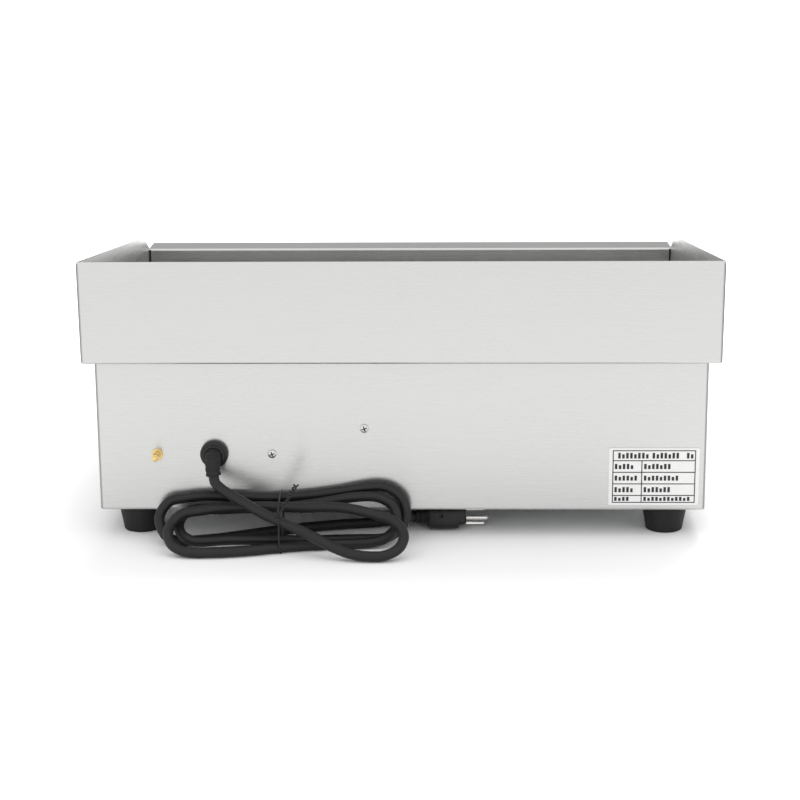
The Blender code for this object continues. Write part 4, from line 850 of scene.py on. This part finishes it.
HEAD_RADIUS = 0.0038
HEAD_HEIGHT = 0.0025
CROSS_REACH = 0.0024
CROSS_HALF = 0.00050
RECESS_Z = 0.0009
for node in ("rear_screw_low", "rear_screw_high"):
    middle = centre_of(node)
    where = Vector((middle.x, panel_y, middle.z))
    outline = [(0.0, HEAD_HEIGHT), *((HEAD_RADIUS * math.sin(math.radians(a)) ** 0.9,
                                      0.0006 + (HEAD_HEIGHT - 0.0006) * math.cos(math.radians(a)) ** 0.7)
                                     for a in range(10, 90, 8)),
               (HEAD_RADIUS, 0.0005), (HEAD_RADIUS - 0.0002, 0.0002), (0, 0.0002)]
    screw = piece(f"pan_head_{node}", turned(outline, where, TO_REAR), "zinc_plated", stands_for=(node,))
    # shade gathers a flat dark cross of painted shade for each recess floor.
    cuts, shade = [], bmesh.new()
    for tilt_angle in (20, 110):
        spot = Matrix.Translation(where) @ TO_REAR @ turn(tilt_angle, "Z")
        blade = cube_between((-CROSS_REACH, -CROSS_HALF, RECESS_Z), (CROSS_REACH, CROSS_HALF, 0.006))
        bmesh.ops.transform(blade, matrix=spot, verts=blade.verts)
        cuts.append(blade)
        bmesh.ops.create_grid(shade, x_segments=1, y_segments=1, size=1, matrix=spot @ Matrix.Translation(
            (0, 0, RECESS_Z + 0.0002)) @ Matrix.Diagonal((CROSS_REACH, CROSS_HALF, 1, 1)))
    carve(screw, *cuts)
    piece(f"recess_{node}", shade, "black_moulding", closed=False)
print("screw faces:", len(screw.data.polygons))

# %% [markdown]
# ## The earth screw
# The outside earth terminal is a threaded brass stud with a plain washer and a hexagon nut. The
# thread is a row of small ridges on the stud's outline, which reads as a thread at this size and
# stays light. A second nut near its end clamps an earth lead. Each nut starts as a six-sided cone
# with no taper, and is chamfered and bored.

# %% Stud, washer and nut
THREAD_PITCH = 0.0007
THREAD_DEPTH = 0.0003
stud_low, stud_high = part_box("earth_stud")
stud = centre_of("earth_stud")
stud_radius = (stud_high.x - stud_low.x) / 2
outline = [(0.0, stud_high.y - panel_y), (stud_radius - 0.0006, stud_high.y - panel_y)]
rise = stud_high.y - panel_y - 0.0004
while rise > 0.0004:
    outline += [(stud_radius, rise), (stud_radius - THREAD_DEPTH, rise - THREAD_PITCH / 2)]
    rise -= THREAD_PITCH
outline += [(stud_radius, 0), (stud_radius, stud_low.y - panel_y), (0.0, stud_low.y - panel_y)]
piece("threaded_stud", turned(outline, (stud.x, panel_y, stud.z), TO_REAR, 32), "brass",
      stands_for=("earth_stud",), sharp=25)


def bored_ring(outer, bore, low_y, high_y, where, soften):
    """A washer's outline: an outer wall with softened edges, and a bore."""
    low, high = low_y - panel_y, high_y - panel_y
    outline = [(bore, high), (outer - soften, high), *arc((outer - soften, high - soften), soften, 90, 0, 3),
               *arc((outer - soften, low + soften), soften, 0, -90, 3), (bore, low), (bore, high)]
    return turned(outline, (where.x, panel_y, where.z), TO_REAR, 48)


washer_low, washer_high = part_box("earth_washer")
washer_radius = (washer_high.x - washer_low.x) / 2
washer = bored_ring(washer_radius, stud_radius + 0.0002, washer_low.y, washer_high.y, stud, 0.0002)
piece("plain_washer", washer, "brass", stands_for=("earth_washer",))

nut_low, nut_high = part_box("earth_nut")
nut_radius = (nut_high.x - nut_low.x) / 2
tall = nut_high.y - nut_low.y
OUTER_NUT = 0.0082         # from the first nut to the second, which clamps the earth lead


def hexagon_nut(name, middle_y, angle, stands_for=()):
    nut = bmesh.new()
    bmesh.ops.create_cone(nut, cap_ends=True, segments=6, radius1=nut_radius, radius2=nut_radius, depth=tall)
    round_edges(nut, edges_where(nut, lambda a, b: near(a.z, b.z)), 0.0004, 2)
    where = Matrix.Translation((stud.x, middle_y, stud.z)) @ TO_REAR @ turn(angle, "Z")
    bmesh.ops.transform(nut, verts=nut.verts, matrix=where)
    made = piece(name, nut, "brass", stands_for=stands_for, sharp=20)
    bore = turned([(0, 0.01), (stud_radius + 0.0001, 0.01), (stud_radius + 0.0001, -0.01), (0, -0.01)],
                  (stud.x, middle_y, stud.z), TO_REAR, 32)
    bmesh.ops.recalc_face_normals(bore, faces=bore.faces)
    carve(made, bore)


inner_nut_y = (nut_low.y + nut_high.y) / 2
hexagon_nut("inner_nut", inner_nut_y, 8, ("earth_nut",))
hexagon_nut("outer_nut", inner_nut_y + OUTER_NUT, 25)
print("nut", round(2 * nut_radius, 4), "m across its corners")

# %% [markdown]
# ## The cord gland
# The gland is a moulded bush: a thick flange against the panel, a groove, and a raised collar
# that the sleeve comes out of. One outline holds all of it.

# %% Gland
gland_low, gland_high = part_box("cord_gland")
gland = centre_of("cord_gland") + Vector((0, 0, 0.001))
flange = (gland_high.x - gland_low.x) / 2
mouth = 0.0094
deep = gland_high.y - panel_y
outline = [
    (0.0050, deep - 0.0030), (0.0064, deep - 0.0006),
    *arc((mouth - 0.0012, deep - 0.0010), 0.0010, 100, 0, 5),
    (mouth, deep - 0.0036), (mouth + 0.0004, deep - 0.0042),
    *arc((flange - 0.0016, deep - 0.0062), 0.0016, 85, 0, 6), (flange, 0.0012),
    *arc((flange - 0.0006, 0.0008), 0.0006, 0, -90, 3), (0.0082, 0.0002),
    (0.0082, gland_low.y - panel_y), (0.0050, gland_low.y - panel_y), (0.0050, deep - 0.0030),
]
piece("gland_bush", turned(outline, (gland.x, panel_y, gland.z), TO_REAR), "black_moulding",
      stands_for=("cord_gland",))
print("gland", round(2 * flange, 4), "m across")

# %% [markdown]
# ## The drooping sleeve
# The strain relief is a soft tapered sleeve. It leaves the gland straight and bends down under the
# cord's weight. It is a tube along a short curve whose width changes along its length: a taper,
# shallow rings that let it flex, and a thicker rim at its open end.

# %% Sleeve
SLEEVE_RADIUS = 0.0073
SLEEVE_TAPER = 0.14
SLEEVE_RINGS = 5
RING_DEPTH = 0.05
sleeve_start = panel_y + deep - 0.0030
sleeve_knots = [
    (gland.x, sleeve_start, gland.z), (gland.x, sleeve_start + 0.0050, gland.z - 0.0002),
    (gland.x - 0.0002, sleeve_start + 0.0106, gland.z - 0.0032),
    (gland.x - 0.0006, sleeve_start + 0.0136, gland.z - 0.0084),
    (gland.x - 0.0014, sleeve_start + 0.0148, gland.z - 0.0140),
]
sleeve_route = smooth_route(sleeve_knots, 0.00035)
widths = []
for index in range(len(sleeve_route)):
    share = index / (len(sleeve_route) - 1)
    ring = RING_DEPTH * max(0.0, math.sin(2 * math.pi * SLEEVE_RINGS * share)) ** 0.5 if share < 0.86 else 0.0
    rim_swell = 0.05 if share > 0.90 else 0.0
    widths.append(1 - SLEEVE_TAPER * share - ring + rim_swell)
widths[-1] *= 0.94
sleeve = tube("strain_sleeve", sleeve_route, SLEEVE_RADIUS, widths=widths)
settle(sleeve, "black_rubber", stands_for=("strain_relief",))
print("sleeve:", round(length_of(sleeve_route), 4), "m long")

# %% [markdown]
# ## The twist tie
# A plastic-covered wire goes once round all the loops and its ends are twisted together. Seen
# along the bundle, the wire is the tight outline of the cords' round sections. For every
# direction, the cord that reaches furthest that way is the one the wire touches, so walking the
# direction round a full turn and stepping out from that cord by a radius draws the outline.

# %% Tie round the bundle
TIE_X = 0.105
TIE_RADIUS = 0.0008
TIE_LIFT = CORD_DIAMETER / 2 + TIE_RADIUS * 0.6
sections = []
for first, second in zip(cord_route, cord_route[1:]):
    if (first.x - TIE_X) * (second.x - TIE_X) <= 0 and first.y > 0.228:
        sections.append(first.lerp(second, abs(first.x - TIE_X) / max(abs(second.x - first.x), 1e-9)))
tie_route = []
for step in range(96):
    angle = 2 * math.pi * step / 96
    out = Vector((0, math.cos(angle), math.sin(angle)))
    furthest = max(sections, key=lambda place: place.dot(out))
    place = furthest + out * TIE_LIFT
    tie_route.append(Vector((TIE_X + 0.0015 * math.sin(angle), place.y, max(place.z, TIE_RADIUS))))
tie_loop = tube("tie_loop", tie_route, TIE_RADIUS, cyclic=True, rings=3)
settle(tie_loop, "tie_wire", stands_for=("cord_tie",))
print("the tie holds", len(sections), "runs")

# %% [markdown]
# The twisted ends are two helices wound round one short line, half a turn apart. They open at the
# tips, as cut ends do.

# %% Twisted ends
TWIST_TURNS = 5
TWIST_LENGTH = 0.030
TWIST_RADIUS = 0.0010
knot = max(tie_route, key=lambda place: place.y * 0.6 + place.z)
for number, phase in enumerate((0, math.pi)):
    end_route = []
    for step in range(61):
        share = step / 60
        angle = phase + 2 * math.pi * TWIST_TURNS * share
        spread = TWIST_RADIUS * (1 + 3.2 * max(0.0, share - 0.72))
        axis_point = knot + Vector((-0.017 * share, 0.006 * share - 0.004 * share * share,
                                    TWIST_LENGTH * share))
        end_route.append(axis_point + Vector((math.cos(angle), math.sin(angle) * 0.8, 0)) * spread)
    settle(tube(f"tie_end_{number + 1}", end_route, TIE_RADIUS * 0.9, rings=2), "tie_wire")
print("twisted ends", TWIST_LENGTH, "m long")

# %% [markdown]
# ## The rating label
# The label is a thin film with a printed table: a frame, a header row and four rows of two cells.
# Real print would name a maker, so the words are drawn as rows of small plain blocks. The rules and
# blocks are flat shapes a hair's breadth in front of the film, all in one mesh. Sizes are shares of
# the label's width and height, which keeps the print in step with the film.

# %% Label
LABEL_LIFT = 0.00006
LABEL_CORNER = 0.0012
RULE = 0.00044             # half the width of a printed line
FRAME_X = (0.045, 0.955)
FRAME_Z = (0.045, 0.955)
ROWS = (0.220, 0.424, 0.628, 0.832)
COLUMN = 0.365
BLOCK_PITCH = 0.044
BLOCK_WIDE = 0.028
# Each row: where its words start, how many blocks each has, and the height of the blocks.
WORDS = (
    (0.132, ((0.10, 8), (0.48, 7), (0.86, 2)), 0.050),
    (0.322, ((0.065, 5), (0.390, 7)), 0.046),
    (0.526, ((0.065, 6), (0.390, 9)), 0.044),
    (0.730, ((0.065, 5), (0.390, 7)), 0.046),
    (0.893, ((0.065, 4), (0.390, 12)), 0.036),
)
label_low, label_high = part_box("rating_label")
label_wide, label_tall = label_high.x - label_low.x, label_high.z - label_low.z
film = cube_between(label_low, label_high)
round_edges(film, edges_where(film, lambda a, b: near(a.x, b.x) and near(a.z, b.z)), LABEL_CORNER, 4)
piece("label_sheet", film, "label_film", stands_for=("rating_label",))

ink = bmesh.new()
ink_y = label_high.y + LABEL_LIFT


def print_block(left, right, bottom, top):
    """A flat printed rectangle. Shares run from the upper left corner, as the label is read."""
    xs = (label_high.x - left * label_wide, label_high.x - right * label_wide)
    zs = (label_high.z - bottom * label_tall, label_high.z - top * label_tall)
    places = (xs[0], zs[0]), (xs[1], zs[0]), (xs[1], zs[1]), (xs[0], zs[1])
    corners = [ink.verts.new((x, ink_y, z)) for x, z in places]
    ink.faces.new(corners)


thin_x, thin_z = RULE / label_wide, RULE / label_tall
for edge in FRAME_X:
    print_block(edge - thin_x, edge + thin_x, FRAME_Z[0] - thin_z, FRAME_Z[1] + thin_z)
for edge in (*FRAME_Z, *ROWS):
    print_block(*FRAME_X, edge - thin_z, edge + thin_z)
print_block(COLUMN - thin_x, COLUMN + thin_x, ROWS[0], FRAME_Z[1])
for middle, words, half_height in WORDS:
    for start, count in words:
        for number in range(count):
            left = start + BLOCK_PITCH * number
            tall = half_height * (1.0 if number % 3 != 1 else 0.5)
            print_block(left, left + BLOCK_WIDE, middle - tall, middle + half_height)
piece("label_print", ink, "label_ink", closed=False)
print("label print:", sum(count for row in WORDS for _, count in row[1]), "blocks")

# %% [markdown]
# ## The plug
# The plug is moulded in one piece: a slim neck, a body whose grip swells on one side, and a face
# that the pins stand out of. A loft draws it: rounded sections are placed along the plug's axis
# and joined by bridging neighbouring rings. The plug lies on the table rolled a little on its axis.

# %% Plug body
def loft(stations, steps=32):
    """Rings given as (along, across low, across high, down, up, squareness), joined in a row."""
    bm = bmesh.new()
    rings = []
    for along, low_side, high_side, down, up, power in stations:
        ring = []
        for step in range(steps):
            angle = 2 * math.pi * (step + 0.5) / steps
            c, s = math.cos(angle), math.sin(angle)
            x = math.copysign(abs(c) ** power, c)
            z = math.copysign(abs(s) ** power, s)
            ring.append(bm.verts.new((x * (high_side if c > 0 else low_side),
                                      z * (up if s > 0 else down), along)))
        rings.append([bm.edges.new((a, b)) for a, b in zip(ring, [*ring[1:], ring[0]])])
        if len(rings) > 1:
            bmesh.ops.bridge_loops(bm, edges=[*rings[-2], *rings[-1]])
    for loop in (rings[0], rings[-1]):
        bmesh.ops.holes_fill(bm, edges=loop, sides=steps)
    return bm


plug_low, plug_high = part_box("plug_body")
PLUG_ROLL = 10.0
PLUG_AXIS = Vector((plug_high.x, 0.1990, 0.0107))
plug_long = plug_high.x - plug_low.x
# Local Z runs from the cord towards the pins; local X is across, and local Y is up before the roll.
plug_frame = Matrix.Translation(PLUG_AXIS) @ turn(PLUG_ROLL, "X") @ turn(-90, "Y") @ turn(-90, "Z")
MM = 0.001
SECTIONS_MM = [
    (0.0, 5.4, 5.4, 5.2, 5.2, 1.0), (0.6, 5.9, 5.9, 5.7, 5.7, 1.0), (2.2, 5.9, 5.9, 5.7, 5.7, 1.0),
    (2.8, 5.2, 5.2, 5.1, 5.1, 1.0), (4.0, 5.2, 5.2, 5.1, 5.1, 1.0), (4.6, 6.6, 6.6, 6.0, 7.0, 0.95),
    (6.4, 6.8, 6.8, 6.1, 7.2, 0.95), (7.0, 6.1, 6.1, 5.6, 6.6, 0.95), (8.2, 6.2, 6.2, 5.7, 6.8, 0.9),
    (8.8, 7.2, 7.2, 6.5, 7.8, 0.9), (11.0, 7.8, 7.8, 6.8, 8.2, 0.8), (13.0, 8.6, 8.6, 7.2, 8.8, 0.7),
    (14.6, 10.0, 10.0, 7.8, 9.2, 0.6), (15.6, 11.4, 11.4, 9.2, 9.6, 0.55), (17.0, 12.0, 12.0, 9.9, 9.9, 0.5),
    (38.0, 12.0, 12.0, 9.9, 10.1, 0.5), (42.0, 11.8, 11.8, 9.8, 10.1, 0.5),
    (42.8, 11.2, 11.2, 6.6, 10.1, 0.45),
    (47.2, 11.0, 11.0, 6.4, 10.1, 0.45), (48.3, 10.6, 10.6, 6.0, 9.7, 0.45), (49.0, 9.6, 9.6, 5.4, 8.8, 0.45),
]
longest = SECTIONS_MM[-1][0] * MM
plug = loft([(row[0] * MM * plug_long / longest, *(size * MM for size in row[1:5]), row[5])
             for row in SECTIONS_MM])
bmesh.ops.transform(plug, matrix=plug_frame, verts=plug.verts)
moulded_plug = piece("moulded_plug", plug, "black_moulding", stands_for=("plug_body",), sharp=28)
print("plug:", [round(v, 4) for v in moulded_plug.dimensions], "cad:",
      [round(v, 4) for v in plug_high - plug_low])

# %% [markdown]
# A dimple on the side marks the moulding's gate. It is a sphere, cut away.

# %% Gate dimple
DIMPLE_ALONG = 0.55
dimple = bmesh.new()
bmesh.ops.create_uvsphere(dimple, u_segments=24, v_segments=12, radius=0.0019)
side = plug_frame @ Vector((-0.0122, 0.002, plug_long * DIMPLE_ALONG))
bmesh.ops.transform(dimple, matrix=Matrix.Translation(side), verts=dimple.verts)
carve(moulded_plug, dimple)
print("dimple cut")

# %% [markdown]
# ## The plug's pins
# Two flat blades and a round earth pin, all nickel plated. A blade is a bevelled block with a hole
# near its end; the pin is turned, with a rounded nose so that it finds its hole first.

# %% Pins
BLADE_HOLE = 0.0016
for node in ("plug_blade_line", "plug_blade_neutral"):
    low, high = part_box(node)
    middle = (low + high) / 2
    reach, wide, thick = high.x - low.x, 0.0063, 0.0015
    blade = cube_between((-thick / 2, -wide / 2, 0), (thick / 2, wide / 2, reach))
    tip = edges_where(blade, lambda a, b: near(a.y, b.y) and near(a.z, b.z) and near(a.z, reach))
    round_edges(blade, tip, 0.0016, 4)
    spot = Matrix.Translation((high.x, middle.y, middle.z)) @ turn(PLUG_ROLL, "X") @ turn(-90, "Y")
    bmesh.ops.transform(blade, matrix=spot, verts=blade.verts)
    blade_piece = piece(f"nickel_{node}", blade, "nickel_plated", stands_for=(node,))
    hole = bmesh.new()
    bmesh.ops.create_cone(hole, cap_ends=True, segments=24, radius1=BLADE_HOLE, radius2=BLADE_HOLE,
                          depth=0.01,
                          matrix=spot @ Matrix.Translation((0, 0, reach - 0.0042)) @ turn(90, "Y"))
    carve(blade_piece, hole)
    print(node, [round(v, 4) for v in blade_piece.dimensions], [round(v, 4) for v in high - low])

pin_low, pin_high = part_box("plug_earth_pin")
pin = (pin_low + pin_high) / 2
pin_radius, pin_reach = (pin_high.z - pin_low.z) / 2, pin_high.x - pin_low.x
outline = [(0.0, 0.0), (pin_radius, 0.0), (pin_radius, pin_reach - pin_radius)]
outline += [*arc((0.0, pin_reach - pin_radius), pin_radius, 12, 90)]
piece("nickel_earth_pin", turned(outline, (pin_high.x, pin.y, pin.z), turn(-90, "Y"), 32), "nickel_plated",
      stands_for=("plug_earth_pin",))
print("pin", round(pin_reach, 4), "m long")

# %% [markdown]

# %% [markdown]
# ## The thermostat knob
# The control panel is on the far side, but it is part of the appliance and is seen from the front.
# The knob is a turned skirt with a bar grip across it, and a white line on the grip shows its
# setting. All three ride on the knob's own body, so they turn with its hinge.

# %% Knob
GRIP_HALF = 0.0065
GRIP_SOFT = 0.0022
SKIRT = 0.009
POINTER_HALF = 0.0009
knob_low, knob_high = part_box("thermostat_knob")
knob = (knob_low + knob_high) / 2
knob_radius = (knob_high.x - knob_low.x) / 2
outline = [(0.0, SKIRT), (knob_radius - 0.0036, SKIRT),
           *arc((knob_radius - 0.0030, SKIRT - 0.0020), 0.0020, 80, 10),
           (knob_radius, 0.0014), *arc((knob_radius - 0.0008, 0.0008), 0.0008, 0, -90, 3), (0.0, 0.0)]
piece("knob_skirt", turned(outline, (knob.x, knob_high.y, knob.z), TO_FRONT, 96), "black_moulding", "knob",
      stands_for=("thermostat_knob",))
grip = cube_between((knob.x - GRIP_HALF, knob_low.y, knob.z - knob_radius + 0.0012),
                    (knob.x + GRIP_HALF, knob_high.y - SKIRT + 0.0015, knob.z + knob_radius - 0.0012))
grip_edges = edges_where(grip, lambda a, b: max(a.y, b.y) < knob_low.y + 0.0001 or not near(a.y, b.y))
round_edges(grip, grip_edges, GRIP_SOFT)
piece("knob_grip", grip, "black_moulding", "knob")
mark = cube_between((knob.x - POINTER_HALF, knob_low.y - 0.00005, knob.z + 0.004),
                    (knob.x + POINTER_HALF, knob_low.y + 0.0005, knob.z + knob_radius - 0.0040))
piece("knob_pointer", mark, "label_film", "knob")
print("knob", round(2 * knob_radius, 4), "m across")

# %% [markdown]
# ## The dial
# The printed ring behind the knob carries a temperature scale. Each number is a text object made
# into a mesh, stood upright, and moved to its place on the ring. The knob turns clockwise from its
# off mark at the top, so the numbers run clockwise too.

# %% Dial ring and scale
SCALE = {45: "50", 90: "100", 135: "150", 180: "200", 225: "250", 270: "300"}
TEXT_SIZE = 0.0050
TEXT_RADIUS = 0.0285
TICK_STEP = 15             # degrees
dial_low, dial_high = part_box("dial_plate")
dial_radius = (dial_high.x - dial_low.x) / 2
thin = dial_high.y - dial_low.y
outline = [(0.004, thin), (dial_radius - 0.0002, thin), (dial_radius, thin - 0.0002),
           (dial_radius, 0), (0.004, 0),
           (0.004, thin)]
piece("dial_ring", turned(outline, (knob.x, dial_high.y, knob.z), TO_FRONT, 96), "dial_print",
      stands_for=("dial_plate",))
print_y = dial_low.y - LABEL_LIFT


def on_dial(angle, radius):
    """A place on the ring, clockwise from the top."""
    turned_by = math.radians(angle)
    return Vector((knob.x + radius * math.sin(turned_by), print_y, knob.z + radius * math.cos(turned_by)))


def flat_text(words, size):
    font = bpy.data.curves.new("words", "FONT")
    font.body, font.size = words, size
    font.align_x, font.align_y = "CENTER", "CENTER"
    font.resolution_u = 3
    holder = bpy.data.objects.new("words", font)
    bpy.context.scene.collection.objects.link(holder)
    bpy.context.view_layer.update()
    flat = bpy.data.meshes.new_from_object(holder.evaluated_get(bpy.context.evaluated_depsgraph_get()))
    bpy.data.objects.remove(holder)
    return flat


scale = bmesh.new()
for angle, words in SCALE.items():
    flat = flat_text(words, TEXT_SIZE)
    flat.transform(Matrix.Translation(on_dial(angle, TEXT_RADIUS)) @ turn(90, "X"))
    scale.from_mesh(flat)
    bpy.data.meshes.remove(flat)
for angle in range(0, 271, TICK_STEP):
    long_tick = angle in SCALE or angle == 0
    tick = bmesh.ops.create_grid(scale, x_segments=1, y_segments=1, size=1)["verts"]
    bmesh.ops.transform(scale, verts=tick, matrix=Matrix.Translation(on_dial(angle, 0.0245)) @ turn(90, "X")
                        @ turn(-angle, "Z")
                        @ Matrix.Diagonal((0.00025, 0.0008 if long_tick else 0.0004, 1, 1)))
piece("dial_scale", scale, "label_ink", closed=False)
print("scale:", list(SCALE.values()))

# %% [markdown]
# ## Pilot lamps and the drawer's handle
# Each lamp is a turned lens with a flange and a domed cap. The handle is a bent rod, drawn as a
# tube along a line with two rounded corners, and it rides on the drawer.

# %% Lamps and handle
for node, finish in (("heating_lamp_lens", "red_lens"), ("power_lamp_lens", "green_lens")):
    low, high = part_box(node)
    middle, flange_radius, proud = (low + high) / 2, (high.x - low.x) / 2, high.y - low.y
    dome = flange_radius * 0.72
    outline = [*arc((0.0, 0.0018), dome, 90, 20, 8)]
    outline = [(radius, min(rise * (proud - 0.0018) / dome + 0.0009, proud)) for radius, rise in outline]
    outline += [(dome, 0.0017), (flange_radius - 0.0005, 0.0016),
                *arc((flange_radius - 0.0005, 0.0011), 0.0005, 80, 0, 3),
                (flange_radius, 0.0), (0.0, 0.0)]
    outline[0] = (0.0, outline[0][1])
    piece(f"domed_{node}", turned(outline, (middle.x, high.y, middle.z), TO_FRONT, 48), finish,
          stands_for=(node,))

handle_low, handle_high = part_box("drawer_handle")
rod_radius = (handle_high.z - handle_low.z) / 2
handle_z = (handle_low.z + handle_high.z) / 2
BEND_REACH = 0.010
left, right = handle_low.x + rod_radius, handle_high.x - rod_radius
front = handle_low.y + rod_radius
bent = [Vector((left, handle_high.y, handle_z))]
bent += [Vector((left + BEND_REACH * (1 - math.cos(a)), front + BEND_REACH * (1 - math.sin(a)), handle_z))
         for a in (math.pi / 2 * step / 10 for step in range(11))]
bent += [Vector((left + right - place.x, place.y, place.z)) for place in reversed(bent)]
handle = settle(tube("bent_handle", bent, rod_radius, rings=5), "polished_rod", "drawer", ("drawer_handle",))
print("handle", round(right - left, 4), "m between its feet")
